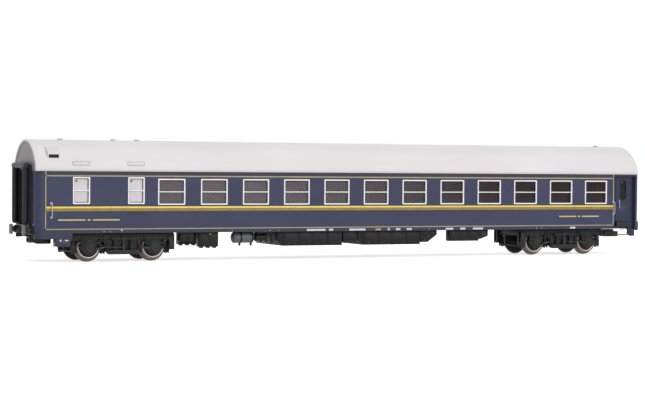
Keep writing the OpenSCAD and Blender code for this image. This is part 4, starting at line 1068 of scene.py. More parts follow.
aprons = Shape()
aprons.both_sides(slab(
    rounded([
        (half_l - 3.5, skirt_z + 0.6), (half_l - 3.5, shell_low[2] + 0.6),
        (half_l - 2.9, shell_low[2]), (half_l - 0.4, shell_low[2]), (half_l - 0.4, skirt_z + 0.6),
    ], 0.25),
    edges(recess_y - WALL_T, recess_y, 0.15), "y",
))
low, high = corners("filler_boxes")
aprons.boxes((low[0], high[1] - 4, low[2]), (high[0], high[1], high[2] + 0.2), 0.3, "y")
middle = ((low[0] + high[0]) / 2, (low[2] + high[2]) / 2)
panel = round_rect(high[0] - low[0] - 1.0, high[2] - low[2] - 0.9, 0.3, middle)
aprons.both_sides(slab(panel, edges(high[1] - 0.1, high[1] + 0.1, 0.08), "y"))
aprons.piece("corner_aprons", "filler_boxes", (body_blue,))


# ---- Belt, lining and marks ---------------------------------------------------------------
# Two gold ribs run under the windows: the upper one bright, and the lower one a darker gold that is painted
# shade. Thin printed gold lines frame each side, and the places of the lettering hold plain bars and blank plates.

gold_bright = coated("gold_bright", srgb(234, 208, 100), 0.05, 3.0, 0.32, 0.1, 0.002, metallic=0.15)
# Painted shade: the lower ribs take a darker copy of the bright gold
gold_lower_shaded = coated("gold_lower_shaded", srgb(146, 126, 66), 0.08, 3.0, 0.4, 0.1, 0.002, metallic=0.15)
gold_line = coated("gold_line", srgb(172, 161, 124), 0.08, 2.0, 0.42, 0.1, 0.002)
gold_ornament = coated("gold_ornament", srgb(206, 190, 128), 0.08, 1.0, 0.42, 0.1, 0.002)
plate_white = coated("plate_white", srgb(214, 212, 220), 0.06, 1.0, 0.45, 0.1, 0.002)
plate_dark = coated("plate_dark", srgb(50, 48, 54), 0.1, 1.0, 0.5, 0.1, 0.002)

low, high = corners("belt_mouldings")
rib_proud = high[1] - half_w
belt = Shape()
for low_z, high_z, proud, finish in (
    (high[2] - 0.78, high[2], rib_proud, 0),
    (low[2], low[2] + 1.1, rib_proud * 0.8, 1),
    (low[2] + 0.4, high[2] - 0.4, rib_proud * 0.25, 1),
):
    middle = (half_w - 0.2 + (proud + 0.2) / 2, (low_z + high_z) / 2)
    rib = round_rect(proud + 0.2, high_z - low_z, 0.1, middle)
    belt.both_sides(slab(rib, edges(low[0], high[0], 0.08), "x"), finish)
belt.piece("belt_ribs", "belt_mouldings", (gold_bright, gold_lower_shaded))

LINE_FRONT_X, LINE_REAR_X = -144.0, 134.5
LINE_TOP_Z, LINE_LOW_Z = 36.25, 14.05
PRINT_T = 0.035
DOT_Z = 12.95


def stamped(outline, wall_y=half_w, height=PRINT_T, ease=0.015):
    """Rings of a flat print: a thin slab of an outline with eased edges, just outside a wall."""
    return slab(outline, edges(wall_y - 0.02, wall_y + height, ease, 1), "y")


def printed(low_x, high_x, low_z, high_z):
    """Rings of an oblong print on the side, between its lowest and highest values."""
    middle = ((low_x + high_x) / 2, (low_z + high_z) / 2)
    return stamped(round_rect(high_x - low_x, high_z - low_z, 0.04, middle, 2))


lines = Shape()
for z, half in ((LINE_TOP_Z, 0.25), (LINE_LOW_Z, 0.2)):
    lines.both_sides(printed(LINE_FRONT_X - 0.22, LINE_REAR_X + 0.2, z - half, z + half))
for x in (LINE_FRONT_X, LINE_REAR_X):
    lines.both_sides(printed(x - 0.22, x + 0.22, LINE_LOW_Z - 0.2, shell_high_z - 0.05))
lines.piece("gold_lining", "body_shell", (gold_line,), replaces=())

marks = Shape()
for low_x, high_x, middle_z in ((-138.7, -112.0, 17.9), (104.3, 126.3, 18.3)):
    middle_x = (low_x + high_x) / 2
    for start, end in ((low_x, middle_x - 1.6), (middle_x + 1.6, high_x)):
        marks.both_sides(printed(start, end, middle_z - 0.28, middle_z + 0.28))
    lozenge = [
        (middle_x - 0.9, middle_z), (middle_x, middle_z - 0.4), (middle_x + 0.9, middle_z),
        (middle_x, middle_z + 0.4),
    ]
    marks.both_sides(stamped(lozenge))
marks.both_sides(printed(-108.7, -101.0, 19.8, 21.2), 1)
marks.both_sides(stamped([(-111.6, 13.75), (-110.4, 13.75), (-111.0, DOT_Z)]), 2)
for start, end in (
    (-25.7, -16.7), (-15.0, -12.9), (-5.0, 3.0), (14.1, 15.2), (18.3, 20.5), (23.7, 26.3),
    (43.7, 47.7), (51.3, 54.0), (57.9, 63.3), (110.3, 113.3),
):
    marks.both_sides(printed(start, end, 12.55, 13.4), 2)
marks.both_sides(printed(8.0, 10.7, 12.65, 13.25), 0)
dot = [(0.17, half_w - 0.02), (0.17, half_w + 0.02), (0.13, half_w + PRINT_T)]
for x in (-61.0, -43.3, -39.1, 35.3, 39.5, -116.0, -118.8, 92.0, 95.0):
    marks.both_sides(turned(dot, (x, 0, DOT_Z), "y", 16), 2)
low, high = corners("filler_boxes")
filler_y = high[1] + 0.1
filler_mark_z = 9.4
cap = [(0.42, 0), (0.42, 0.04), (0.34, 0.07)]
marks.both_sides(turned(cap, (low[0] + 2.1, filler_y - 0.02, filler_mark_z), "y", 20), 2)
dash = round_rect(1.5, 0.5, 0.24, (low[0] + 4.7, filler_mark_z))
marks.both_sides(stamped(dash, filler_y, 0.05, 0.02), 2)
marks.piece("plain_marks", "body_shell", (gold_ornament, plate_dark, plate_white), replaces=())


# ---- Window frames and glass --------------------------------------------------------------
# White frames with two lights, pressed into the walls from outside. A clear strip behind each
# wall gives the panes, and the toilet windows have frosted panes with a small round vent.

FRAME_BAR, MIDDLE_BAR = 0.8, 0.42
FRAME_BACK_Y = half_w - 0.7
FRAME_FACE_Y = half_w + 0.2

frame_white = coated("frame_white", srgb(249, 246, 250), 0.02, 2.0, 0.4, 0.1, 0.003)
# Painted shade: one dark for the set-back ring inside each frame bar and the thin ring round each frame
frame_shade_dark = coated("frame_shade_dark", srgb(44, 44, 58), 0.1, 1.0, 0.6, 0.1, 0.002)
bar_section = np.array([
    (0, FRAME_BACK_Y), (0, FRAME_FACE_Y - 0.1), (0.03, FRAME_FACE_Y - 0.03), (0.1, FRAME_FACE_Y),
    (0.46, FRAME_FACE_Y), (0.53, FRAME_FACE_Y - 0.03), (0.56, FRAME_FACE_Y - 0.1),
    (0.56, FRAME_BACK_Y),
])
# The set-back ring inside the bar is painted dark: painted shade of the window reveal
reveal_shade_section = np.array([
    (0.5, FRAME_BACK_Y), (0.5, half_w - 0.35), (0.76, half_w - 0.35), (FRAME_BAR, half_w - 0.4),
    (FRAME_BAR, FRAME_BACK_Y),
])
# A thin dark ring round each frame at the wall: a painted shadow line
gap_section = np.array([
    (-0.14, half_w - 0.05), (-0.12, half_w + 0.015), (0.05, half_w + 0.015), (0.05, half_w - 0.05),
])


def layers(outlines, axis):
    """Rings of flat outlines that are given as (outline, level along the axis) pairs."""
    return stand(np.array([
        np.concatenate([line, np.full((len(line), 1), level)], axis=1) for line, level in outlines
    ]), axis)


def frame_ring(width, height, centre, section):
    """Rings of a bar carried round a rounded rectangle: each (inset, depth) of the bar's section
    gives one closed line, whose corners tighten as it moves in."""
    return layers([
        (round_rect(
            width - 2 * inset, height - 2 * inset, 0.34 - 0.2 * inset / FRAME_BAR, centre
        ), depth)
        for inset, depth in section
    ], "y")


for side, node, name in (
    (-1, "compartment_window_frames", "compartment_frames"),
    (1, "corridor_window_frames", "corridor_frames"),
):
    frames = Shape((1, side, 1))
    for middles, width, (low_z, high_z) in window_rows:
        middle_z = (low_z + high_z) / 2
        for x in middles:
            for section, finish in ((bar_section, 0), (gap_section, 1), (reveal_shade_section, 1)):
                ring = frame_ring(width, high_z - low_z, (x, middle_z), section)
                frames.rings(ring, finish, loop=True)
            bar = round_rect(width - 1.1, MIDDLE_BAR, 0.06, (x, middle_z), 2)
            frames.rings(slab(bar, edges(FRAME_BACK_Y, FRAME_FACE_Y - 0.1, 0.08), "y"))
    frames.piece(name, node, (frame_white, frame_shade_dark))

# The panes carry a painted reflection of a pale room at the front end, and painted shade, the dark
# red-brown of the unlit inside, at the rear end, both crossed by painted streaks
glass = Finish("window_glass", roughness=0.07, ior=1.52)
x, y, z = glass.axes()
glass_drift = glass.noise(9, 4, (3, 1, 1))
slat = glass.node("ShaderNodeMath", {"operation": "PINGPONG"}, {0: z, 1: 0.46})
painted_streak = 0.6 * glass.step(slat, 0.05, 0.3) + 0.4 * glass_drift
# mirrored is a painted reflection of a pale room; inward is painted shade, the dark red-brown of the unlit inside
mirrored = glass.mix(painted_streak, srgb(79, 71, 75), srgb(124, 116, 120))
inward = glass.mix(painted_streak, srgb(18, 8, 11), srgb(50, 28, 30))
glass.set(
    base_color=glass.mix(glass.step(x + 60 * glass_drift, -30, 125), mirrored, inward),
    alpha=0.72 + 0.1 * glass_drift,
)
for node in ("compartment_glazing", "corridor_glazing"):
    dress(node, glass)

frosted = Finish("frosted_pane", ior=1.49)
x, y, z = frosted.axes()
cloud = frosted.noise(1.4, 4)
pale = frosted.mix(frosted.step(cloud, 0.35, 0.65), srgb(214, 209, 212), srgb(221, 216, 219))
lower = frosted.mix(frosted.step(cloud, 0.35, 0.65), srgb(216, 207, 211), srgb(223, 214, 218))
frosted.set(
    base_color=frosted.mix(frosted.step(z, 29.9, 30.4), lower, pale), roughness=0.5 + 0.15 * cloud
)
frosted.relief(frosted.noise(0.3, 2), 0.02)
dress("toilet_panes", frosted)

vents = Shape()
vent_profile = [(0.5, 0), (0.5, 0.12), (0.42, 0.2), (0.3, 0.2), (0.28, 0.12)]
for x in toilet_x:
    place = (x - TOILET_W / 2 + FRAME_BAR + 0.85, half_w - 0.72, toilet_z[1] - FRAME_BAR - 0.85)
    vents.both_sides(turned(vent_profile, place, "y", 28))
vent_grey = coated("vent_grey", srgb(128, 122, 128), 0.1, 1.0)
vents.piece("toilet_vents", "toilet_panes", (vent_grey,), replaces=())


# ---- Interior -----------------------------------------------------------------------------
# A dark brown moulding of corridor wall and partitions, with two berths in each compartment. A
# zinc ballast plate lies on the floor under it.

timber = Finish("compartment_timber")
x, y, z = timber.axes()
grain = timber.noise(1.0, 5, (9, 1, 0.6))
slat = timber.node("ShaderNodeMath", {"operation": "PINGPONG"}, {0: z, 1: 0.62})
seam = timber.step(slat, 0.0, 0.16)
wood = timber.mix(timber.step(grain, 0.35, 0.65), srgb(84, 54, 46), srgb(116, 78, 66))
timber.set(base_color=timber.mix(seam, srgb(40, 26, 24), wood), roughness=0.4 + 0.2 * grain)
timber.relief(seam, 0.06)
dress("compartment_walls", timber)

blanket = Finish("berth_cloth", roughness=0.8, sheen_weight=0.3)
x, y, z = blanket.axes()
weave = blanket.noise(0.35, 2)
fold = blanket.noise(3.0, 4, (1, 1, 0.4))
red = blanket.mix(blanket.step(fold, 0.35, 0.65), srgb(112, 56, 50), srgb(142, 78, 66))
turned_down = blanket.within(z, 28.9, 29.6, 0.1) + blanket.within(z, 19.2, 20.0, 0.1)
blanket.set(base_color=blanket.mix(turned_down, red, srgb(170, 150, 144)))
blanket.relief(weave, 0.04)
dress("berths", blanket)

zinc = coated("zinc_plate", srgb(128, 130, 134), 0.15, 6.0, 0.4, 0.3, 0.01, metallic=0.8)
dress("ballast_plate", zinc)


# ---- Entrance -----------------------------------------------------------------------------
# A narrow blue door stands in each recess, with a black rubber rim round its oval window. The
# handrails and the door handle are bent bright wire, and black steps hang below the door.

wire_silver = coated("wire_silver", srgb(176, 176, 190), 0.05, 1.0, 0.3, 0.08, 0.002, metallic=0.5)
rubber_black = coated("rubber_black", srgb(30, 30, 33), 0.2, 1.5, 0.55, 0.1, 0.006)
step_black = coated("step_black", srgb(34, 34, 37), 0.2, 2.0, 0.6, 0.2, 0.03)

window_low, window_high = corners("entrance_door_windows")
door_x = (leaf_low[0] + leaf_high[0]) / 2
door_z = (leaf_low[2] + leaf_high[2]) / 2
oval_z = (window_low[2] + window_high[2]) / 2
oval_w, oval_h = window_high[0] - window_low[0], window_high[2] - window_low[2]
DOOR_BACK_Y = recess_y - WALL_T
DOOR_FACE_Y = leaf_high[1]

doors = Shape()
leaf_outline = round_rect(DOOR_W - 0.12, leaf_high[2] - leaf_low[2], 0.4, (door_x, door_z), 12)
oval = round_rect(oval_w, oval_h, oval_w / 2 - 0.01, (door_x, oval_z), 12)


def leaf_with_hole(outline, hole, back_y, face_y, edge):
    """Rings of a plate with a hole: from the hole's back edge out over the back to the outline,
    round its eased edge, and in over the face to the hole again."""
    full, eased = slab(outline, [(0, 0), (edge, 0)], "z")[:, :, :2]
    return layers([
        (hole, back_y), (eased, back_y), (full, back_y + edge), (full, face_y - edge),
        (eased, face_y), (hole, face_y),
    ], "y")


doors.both_sides(leaf_with_hole(leaf_outline, oval, DOOR_BACK_Y, DOOR_FACE_Y, 0.12), 0, loop=True)
panel = round_rect(DOOR_W - 2.2, 6.2, 0.4, (door_x, leaf_low[2] + 4.4))
doors.both_sides(slab(panel, edges(DOOR_FACE_Y - 0.05, DOOR_FACE_Y + 0.08, 0.06), "y"))
hinge_x = leaf_high[0] - 0.35
for z in (leaf_low[2] + 2.0, leaf_low[2] + 10.5, leaf_high[2] - 2.0):
    pin = [(hinge_x, DOOR_FACE_Y, z - 0.5), (hinge_x, DOOR_FACE_Y, z + 0.5)]
    doors.both_sides(tube(pin, 0.22, 12))
doors.piece("entrance_door_leaves", "entrance_doors", (body_blue,))

# Painted shade: the door panes and the end door panes are opaque and near black, for the unlit space behind them
door_glass = Finish("door_glass", roughness=0.12, specular_ior_level=0.2)
pane_shade_drift = door_glass.noise(3, 3)
door_glass.set(base_color=door_glass.mix(pane_shade_drift, srgb(12, 12, 16), srgb(20, 20, 25)))
door_windows = Shape()
rim_section = [(0, 0), (0.02, 0.2), (0.12, 0.3), (0.34, 0.3), (0.45, 0.2), (0.47, 0)]
rim = layers([
    (round_rect(
        oval_w + 0.3 - 2 * inset, oval_h + 0.3 - 2 * inset, oval_w / 2 + 0.14 - inset,
        (door_x, oval_z), 12,
    ), DOOR_FACE_Y - 0.1 + rise)
    for inset, rise in rim_section
], "y")
door_windows.both_sides(rim, 0, loop=True)
door_windows.both_sides(slab(oval, edges(DOOR_BACK_Y + 0.1, DOOR_FACE_Y - 0.1, 0.1), "y"), 1)
door_windows.piece("oval_door_windows", "entrance_door_windows", (rubber_black, door_glass))


def bent_rail(x, wall_y, low_z, high_z, reach, radius, bend):
    """Rings of a wire that leaves the wall, bends up along it, and bends back into it."""
    corner_points = [
        (x, wall_y - 0.1, low_z), (x, wall_y + reach, low_z), (x, wall_y + reach, high_z),
        (x, wall_y - 0.1, high_z),
    ]
    return tube(rounded(corner_points, bend, 5, closed=False), radius, 12)


WIRE_R = 0.19
RAIL_R = 0.25
RAIL_H = 6.3

rails = Shape()
low, high = corners("handrails")
rail_reach = high[1] - half_w - RAIL_R
belt_low_z = corners("belt_mouldings")[0][2]
for x, low_z in ((low[0] + RAIL_R, belt_low_z - 2.8), (high[0] - RAIL_R, belt_low_z - 2.5)):
    ends = (low_z + RAIL_R, low_z + RAIL_H - RAIL_R)
    rails.both_sides(bent_rail(x, half_w, *ends, rail_reach, WIRE_R, 0.7))
    for z in ends:
        foot = [(0.5, 0), (0.5, 0.1), (0.35, 0.18)]
        rails.both_sides(turned(foot, (x, half_w - 0.02, z), "y", 20))
rails.piece("wire_handrails", "handrails", (wire_silver,))

handles = Shape()
low, high = corners("door_handles")
handle_x = (low[0] + high[0]) / 2
bow = np.radians(np.linspace(-78, 78, 17))
path = np.stack([
    handle_x + 1.1 - 0.75 * np.cos(bow),
    DOOR_FACE_Y - 0.1 + 1.0 * np.cos(bow),
    (low[2] + high[2]) / 2 + 1.35 * np.sin(bow) / np.sin(bow[-1]),
], axis=1)
handles.both_sides(tube(path, WIRE_R, 12))
for x, _, z in path[[0, -1]]:
    foot = [(0.38, 0), (0.38, 0.1), (0.28, 0.16)]
    handles.both_sides(turned(foot, (x, DOOR_FACE_Y - 0.02, z), "y", 20))
handles.piece("door_wire_handles", "door_handles", (wire_silver,))

steps = Shape()
low, high = corners("door_steps")
tread_x = recess_low_x + 1.4
steps.boxes((tread_x, recess_y, skirt_z + 1), (recess_low_x + 8.4, high[1], high[2]), 0.15, "x")
for number in range(6):
    x = tread_x + 0.7 + number * 1.12
    steps.boxes(
        (x, recess_y + 0.2, high[2] - 0.05), (x + 0.35, high[1] - 0.1, high[2] + 0.06), 0.04, "z"
    )
steps.boxes((low[0], recess_y - 1.2, low[2]), (low[0] + 8.2, high[1], low[2] + 0.28), 0.1, "z", 1)
steps.boxes(
    (low[0], high[1] - 0.25, low[2] + 0.1), (low[0] + 8.2, high[1], low[2] + 0.5), 0.08, "x", 1
)
bracket = rounded([
    (high[0] - 1.4, high[2] - 0.9), (high[0] - 1.4, low[2] + 0.1), (high[0], low[2] + 0.1),
    (high[0], high[2] - 0.9),
], 0.2)
steps.both_sides(slab(bracket, edges(recess_y + 0.05, recess_y + 0.9, 0.12), "y"))
steps.piece("door_step_mouldings", "door_steps", (step_black, spring_grey))


# ---- Ends ---------------------------------------------------------------------------------
# Black rubber tubes stand round the gangway door on a flat plate. Two buffers with oblong heads
# and a draw hook with its screw link sit on the beam.

door_black = coated("end_door_black", srgb(40, 40, 44), 0.15, 4.0, 0.42, 0.15, 0.008)
dress("end_doors", door_black)
tube_rubber = Finish("tube_rubber")
x, y, z = tube_rubber.axes()
dust = tube_rubber.noise(2.5, 5)
fine = tube_rubber.noise(0.2, 2)
dusted = tube_rubber.mix(tube_rubber.step(dust, 0.4, 0.75), srgb(34, 34, 37), srgb(66, 66, 70))
tube_rubber.set(base_color=dusted, roughness=0.32 + 0.25 * dust)
tube_rubber.relief(fine, 0.01)
buffer_iron = coated("buffer_iron", srgb(52, 52, 54), 0.15, 1.5, 0.4, 0.1, 0.006, metallic=0.4)
head_steel = coated("head_black", srgb(66, 68, 69), 0.15, 1.5, 0.4, 0.1, 0.006)
TUBE_R = 1.2
TUBE_Y = 8.0
TUBE_FOOT_Z = 16.0
BUFFER_Y = 10.06

for end, turn in (("front", 1), ("rear", -1)):
    low, high = corners("front_gangway")
    gangway = Shape((turn, 1, 1))
    tube_x = low[0] + TUBE_R
    top_z = high[2] - TUBE_R
    plate_y = TUBE_Y + TUBE_R + 0.3
    # Frame plate behind the tubes, in one flat loop round the doorway
    outline = rounded([
        (-plate_y, low[2]), (plate_y, low[2]), (plate_y, top_z + 0.4), (-plate_y, top_z + 0.4),
    ], 0.5, 4)
    inner = rounded([
        (-TUBE_Y + TUBE_R, low[2] + 0.5), (TUBE_Y - TUBE_R, low[2] + 0.5),
        (TUBE_Y - TUBE_R, top_z - TUBE_R), (-TUBE_Y + TUBE_R, top_z - TUBE_R),
    ], 0.4, 4)
    back_x, front_x = -half_l + 0.02, -half_l - 0.8
    plate = [(inner, back_x), (outline, back_x), (outline, front_x), (inner, front_x)]
    gangway.rings(layers(plate, "x"), 0, loop=True)
    # Upright tubes: a soft roll with a flattened heel, closed with a rounded foot
    up = np.array([0, 0.15, 0.5, 1.0, 2.0, top_z - TUBE_FOOT_Z - 0.2])
    radius = np.array([0.5, 0.85, 1.1, TUBE_R, TUBE_R, TUBE_R])
    upright = np.stack([radius, TUBE_FOOT_Z + up], axis=1)
    for side in (-1, 1):
        gangway.rings(turned(upright, (tube_x, side * TUBE_Y, 0), "z", 40))
        for inset in (0.75, 1.7):
            y = side * (TUBE_Y - TUBE_R + 0.1 + inset)
            fold_low = (tube_x - TUBE_R - 0.02, y - 0.12, TUBE_FOOT_Z + 1)
            gangway.rings(block(fold_low, (tube_x + TUBE_R, y + 0.12, top_z), 0.08))
    across = np.array([0, 0.12, 0.4, 0.9, 1.4, 18.4, 18.9, 19.4, 19.68, 19.8]) - 9.9
    roll = np.array([0.55, 0.85, 1.08, 1.18, 1.21, 1.21, 1.18, 1.08, 0.85, 0.55])
    gangway.rings(turned(np.stack([roll, across], axis=1), (tube_x, 0, top_z), "y", 44), 1)
    for y in (-9.0, -5.4, 5.4, 9.0):
        clamp = [(1.15, y - 0.35), (1.26, y - 0.3), (1.26, y + 0.3), (1.15, y + 0.35)]
        gangway.rings(turned(clamp, (tube_x, 0, top_z), "y", 44))
    # Fold-up bridge plate at the foot of the door
    gangway.rings(block((-half_l - 1.6, -6.6, 15.25), (-half_l - 0.1, 6.6, 15.75), 0.12, "y"), 2)
    gangway.piece(f"{end}_gangway_tubes", f"{end}_gangway", (rubber_black, tube_rubber, spring_grey))

    low, high = corners("end_doors")
    fittings = Shape((turn, 1, 1))
    bar_x = low[0] - 0.35
    for y in (-3.2, 3.2):
        fittings.rings(tube([(bar_x, y, 24.0), (bar_x, y, 28.0)], 0.2, 12), 1)
        for z in (24.3, 27.7):
            fittings.rings(tube([(low[0] + 0.05, y, z), (bar_x, y, z)], 0.16, 10), 1)
    pane = round_rect(4.2, 10.2, 0.5, (0, (24.5 + 35.2) / 2))
    fittings.rings(slab(pane, edges(low[0] + 0.15, low[0] + 0.35, 0.05), "x"), 0)
    fittings.piece(f"{end}_end_door_fittings", "end_doors", (door_glass, wire_silver), replaces=())

    low, high = corners("front_buffers")
    buffer_z = (low[2] + high[2]) / 2
    face_x = low[0]
    beam_x = corners("frame_castings")[0][0]
    buffers = Shape((turn, 1, 1))
    centre = (0, BUFFER_Y, buffer_z)
    profile = [
        (1.9, beam_x + 0.1), (1.9, beam_x - 0.15), (1.65, beam_x - 0.25), (1.6, beam_x - 1.05),
        (1.42, beam_x - 1.15), (1.12, beam_x - 1.2), (1.08, face_x + 0.6), (0.9, face_x + 0.4),
    ]
    buffers.both_sides(turned(profile, centre, "x", 40))
    head = round_rect(5.0, 4.4, 0.9, (BUFFER_Y, buffer_z), 6)
    levels = [
        (1.4, face_x + 0.75), (0.25, face_x + 0.58), (0.0, face_x + 0.45), (0.0, face_x + 0.15),
        (0.14, face_x + 0.03), (0.4, face_x),
    ]
    buffers.both_sides(slab(head, levels, "x"), 1)
    for dy in (-1, 1):
        for dz in (-1, 1):
            place = (beam_x + 0.02, BUFFER_Y + 1.75 * dy, buffer_z + 1.35 * dz)
            buffers.both_sides(turned([(0.28, 0), (0.28, -0.2), (0.2, -0.26)], place, "x", 6))
    flange = round_rect(4.3, 3.2, 0.4, (BUFFER_Y, buffer_z - 0.02))
    buffers.both_sides(slab(flange, edges(beam_x - 0.12, beam_x + 0.05, 0.05), "x"))
    buffers.piece(f"{end}_buffer_castings", f"{end}_buffers", (buffer_iron, head_steel))

    hook = Shape((turn, 1, 1))
    plate_low, plate_high = (beam_x - 0.3, -1.3, buffer_z - 1.3), (beam_x + 0.05, 1.3, buffer_z + 1.3)
    hook.rings(block(plate_low, plate_high, 0.12, "x"))
    for dy in (-0.9, 0.9):
        for dz in (-0.9, 0.9):
            place = (beam_x - 0.28, dy, buffer_z + dz)
            hook.rings(turned([(0.22, 0), (0.22, -0.16), (0.15, -0.2)], place, "x", 6))
    bend = np.radians(np.linspace(130, 330, 13))
    jaw_x, jaw_z = beam_x - 1.55, buffer_z - 0.2
    claw = np.concatenate([
        [(beam_x, buffer_z + 0.5), (beam_x - 0.9, buffer_z + 0.45)],
        np.stack([jaw_x + 0.85 * np.cos(bend), jaw_z + 0.75 * np.sin(bend)], axis=1),
        [(beam_x, buffer_z - 0.5)],
    ])
    hook.rings(slab(claw, edges(-0.38, 0.38, 0.12), "y"))
    turn_angle = np.linspace(0, 2 * np.pi, 28, endpoint=False)
    c, s = np.cos(turn_angle), np.sin(turn_angle)
    link = np.stack([jaw_x - 0.1 + 0.32 * c, 0.55 * c, jaw_z - 1.25 + 1.15 * s], axis=1)
    across = np.stack([c, 0 * turn_angle, s], axis=1)
    ring_angle = np.linspace(0, 2 * np.pi, 10, endpoint=False)[:, None]
    link_tube = link[:, None] + 0.16 * (
        np.cos(ring_angle) * across[:, None] + np.sin(ring_angle) * np.array([0, 1.0, 0])
    )
    hook.rings(link_tube, 0, loop=True)
    hook.piece(f"{end}_hook_and_link", f"{end}_draw_hook", (buffer_iron,))


# ---- Roof ---------------------------------------------------------------------------------
# A separate light grey moulding with a satin paint: a flat crown, tight shoulders, a slim gutter
# along each eave and a recessed end face inside a rim. Hoods, grilles and vents are moulded on.

ROOF_T = 1.0
SHOULDER_R = 9.5
RIM_DEPTH = 0.5
RIM_W = 0.8

shoulder_low, shoulder_high = corners("roof_shoulders")
roof_high = corners("roof")[1]
eave_z = shoulder_low[2]
roof_rise = roof_high[2] - eave_z
shoulder_y = half_w - SHOULDER_R
crown_r = (shoulder_y ** 2 + roof_rise ** 2 - SHOULDER_R ** 2) / (2 * (roof_rise - SHOULDER_R))
crown_z = roof_high[2] - crown_r
tangent = math.atan2(eave_z - crown_z, shoulder_y)


def arch(inset):
    """The roof's line in Y and Z, moved in by an inset: a shoulder arc, the crown arc that it runs
    into without a kink, and the other shoulder's arc."""
    near = np.linspace(0, tangent, 15)[:-1]
    crown = np.linspace(tangent, np.pi - tangent, 41)
    far = np.linspace(np.pi - tangent, np.pi, 15)[1:]
    pieces = [
        (shoulder_y, eave_z, SHOULDER_R - inset, near), (0, crown_z, crown_r - inset, crown),
        (-shoulder_y, eave_z, SHOULDER_R - inset, far),
    ]
    return np.concatenate([
        np.stack([y + r * np.cos(angle), z + r * np.sin(angle)], axis=1) for y, z, r, angle in pieces
    ])


roof_white = Finish("roof_grey", coat_weight=0.12, coat_roughness=0.3)
x, y, z = roof_white.axes()
cloud = roof_white.noise(26, 4, (2, 1, 1))
speck = roof_white.noise(0.25, 2)
paint = roof_white.mix(roof_white.step(cloud, 0.35, 0.65), srgb(221, 216, 218), srgb(226, 222, 223))
# Painted shade: the roof's lowest outer strip along each eave is mixed halfway to a darker grey
below = roof_white.step(y * y, 16.35 ** 2, 16.7 ** 2) * (1 - roof_white.step(z, 38.9, 39.3))
roof_white.set(
    base_color=roof_white.mix(below * 0.5, paint, srgb(196, 193, 196)), roughness=0.36 + 0.12 * cloud
)
roof_white.relief(speck, 0.004)
# Painted shade: the recessed end faces are a much darker grey than the roof
roof_end_shaded_grey = coated("roof_end_shaded_grey", srgb(156, 150, 154), 0.04, 6.0, 0.45, 0.2, 0.005)

roof = Shape()
stations = [(-half_l, 0.12), (-half_l + 0.05, 0.05), (-half_l + 0.14, 0.0)]
stations += [(x, 0.0) for x in np.linspace(-half_l + 2, half_l - 2, 61)]
stations += [(half_l - 0.14, 0.0), (half_l - 0.05, 0.05), (half_l, 0.12)]
section = np.array([
    np.concatenate([arch(inset), arch(RIM_W if abs(x) > half_l - 2 else ROOF_T)[::-1]])
    for x, inset in stations
])
x = np.broadcast_to(np.array([x for x, _ in stations])[:, None, None], (*section.shape[:2], 1))
roof_points = np.concatenate([x, section], axis=-1)
ring_count, ring_sides = roof_points.shape[:2]
index = np.arange(ring_count * ring_sides).reshape(ring_count, ring_sides)
beside = np.roll(index, -1, axis=1)
bands = np.stack([index[:-1], beside[:-1], beside[1:], index[1:]], -1)
half = ring_sides // 2
outer, inner = np.arange(half - 1), ring_sides - 1 - np.arange(half - 1)
caps = [
    np.stack([row[outer], row[outer + 1], row[inner - 1], row[inner]], axis=-1)
    for row in (index[0], index[-1])
]
roof_faces = np.concatenate([bands.reshape(-1, 4), *caps]).tolist()
roof.add(roof_points, roof_faces, [0] * len(roof_faces))
plate = arch(RIM_W - 0.05)
for side in (-1, 1):
    face_x = side * (half_l - RIM_DEPTH)
    roof.rings(slab(plate, [(0, face_x - side * 1.0), (0, face_x)], "x"), 1)
gutter_y = shoulder_high[1]
gutter = rounded([
    (half_w - 0.35, eave_z), (gutter_y, eave_z), (gutter_y, eave_z + 0.5),
    (half_w - 0.1, eave_z + 0.75), (half_w - 0.35, eave_z + 0.75),
], 0.08)
roof.both_sides(slab(gutter, edges(-half_l + 2, half_l - 2, 0.08), "x"))
roof_nodes = ("roof", "roof_haunches", "roof_shoulders", "roof_ends")
roof.piece("roof_moulding", "roof", (roof_white, roof_end_shaded_grey), replaces=roof_nodes)

hood_mouth_shade = coated("hood_mouth_shade", srgb(22, 22, 24), 0.2, 1.0, 0.7, 0.1, 0.004)
hoods = Shape()
low, high = corners("roof_hoods")
hood_y = high[1]
hood_foot_z, hood_brow_z = eave_z + 5, eave_z + 7.9
hood_back = (hood_y - 5.6, hood_foot_z)
hood_top = [(hood_y, hood_brow_z), (hood_y - 3.9, eave_z + 10.1), (hood_y - 5.6, eave_z + 10.1)]
hood_profile = [hood_back, (hood_y, hood_foot_z), *hood_top]
mouth_profile = [
    hood_back, (hood_y - 1.0, hood_foot_z), (hood_y - 1.0, eave_z + 6.9), (hood_y, eave_z + 6.9),
    *hood_top,
]
for profile, low_x, high_x, ease in (
    (hood_profile, low[0], low[0] + 0.5, 0.12), (hood_profile, high[0] - 0.5, high[0], 0.12),
    (mouth_profile, low[0] + 0.3, high[0] - 0.3, 0.08),
):
    hoods.both_sides(slab(profile, edges(low_x, high_x, ease), "x"))
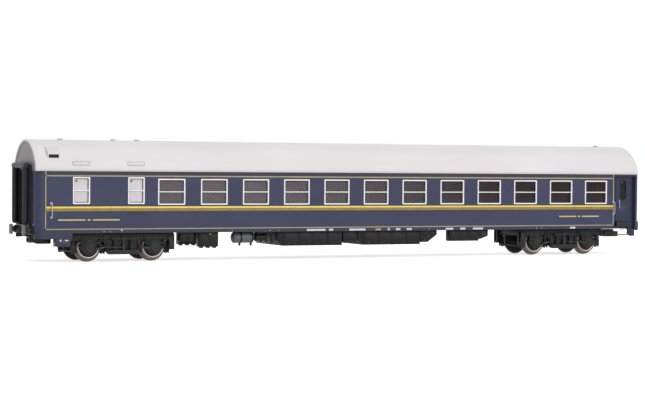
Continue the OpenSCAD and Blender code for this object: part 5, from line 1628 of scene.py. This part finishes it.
# Painted shade: a near-black box set into each hood's mouth stands for the shadowed opening
hoods.boxes(
    (low[0] + 0.45, hood_y - 1.0, eave_z + 5.05),
    (high[0] - 0.45, hood_y - 0.12, eave_z + 6.95), 0.03, "y", 1,
)
hoods.piece("roof_hood_mouldings", "roof_hoods", (roof_white, hood_mouth_shade))

GRILLE_L, GRILLE_W = 7.5, 1.8
GRILLE_TILT = math.radians(20)
grille_grey = coated("grille_grey", srgb(176, 172, 175), 0.05, 2.0, 0.5, 0.1, 0.003)
grilles = Shape()


def onto_shoulder(rings):
    """Tips rings of (along X, up the slope, out from the roof) onto the shoulder's curve."""
    x, up, out = np.moveaxis(rings, -1, 0)
    c, s = math.cos(GRILLE_TILT), math.sin(GRILLE_TILT)
    reach = SHOULDER_R + out
    return np.stack([x, shoulder_y + reach * c - up * s, eave_z + reach * s + up * c], axis=-1)


for middle in toilet_x:
    plate = round_rect(GRILLE_L, GRILLE_W, 0.15, (middle, 0))
    grilles.both_sides(onto_shoulder(slab(plate, edges(-0.35, 0.06, 0.05), "z")))
    border = layers([
        (round_rect(
            GRILLE_L - 2 * inset, GRILLE_W - 2 * inset, 0.15 - inset / 3, (middle, 0)
        ), out)
        for inset, out in ((0, -0.3), (0, 0.1), (0.04, 0.14), (0.16, 0.14), (0.2, 0.05), (0.2, -0.3))
    ], "z")
    grilles.both_sides(onto_shoulder(border), 1, loop=True)
    for number in range(12):
        x = middle - GRILLE_L / 2 + 0.55 + number * (GRILLE_L - 1.1) / 11
        slat = block((x - 0.12, -GRILLE_W / 2 + 0.3, -0.1), (x + 0.12, GRILLE_W / 2 - 0.3, 0.14), 0.04)
        grilles.both_sides(onto_shoulder(slat))
grilles.piece("roof_grille_mouldings", "roof_grilles", (roof_white, grille_grey))

vents = Shape()
low, high = corners("roof_vents")
for offset in (15.2, 38.7, 49.3, 2 * half_l - 13.4):
    vents.rings(turned([
        (1.2, -0.4), (1.15, 0.12), (0.8, 0.18), (0.75, 0.26), (1.36, 0.28), (1.4, 0.34),
        (1.25, 0.46), (0.9, 0.56), (0.4, 0.6),
    ], (-half_l + offset, 0, roof_high[2]), "z", 40))
vents.piece("roof_mushroom_vents", "roof_vents", (roof_white,))
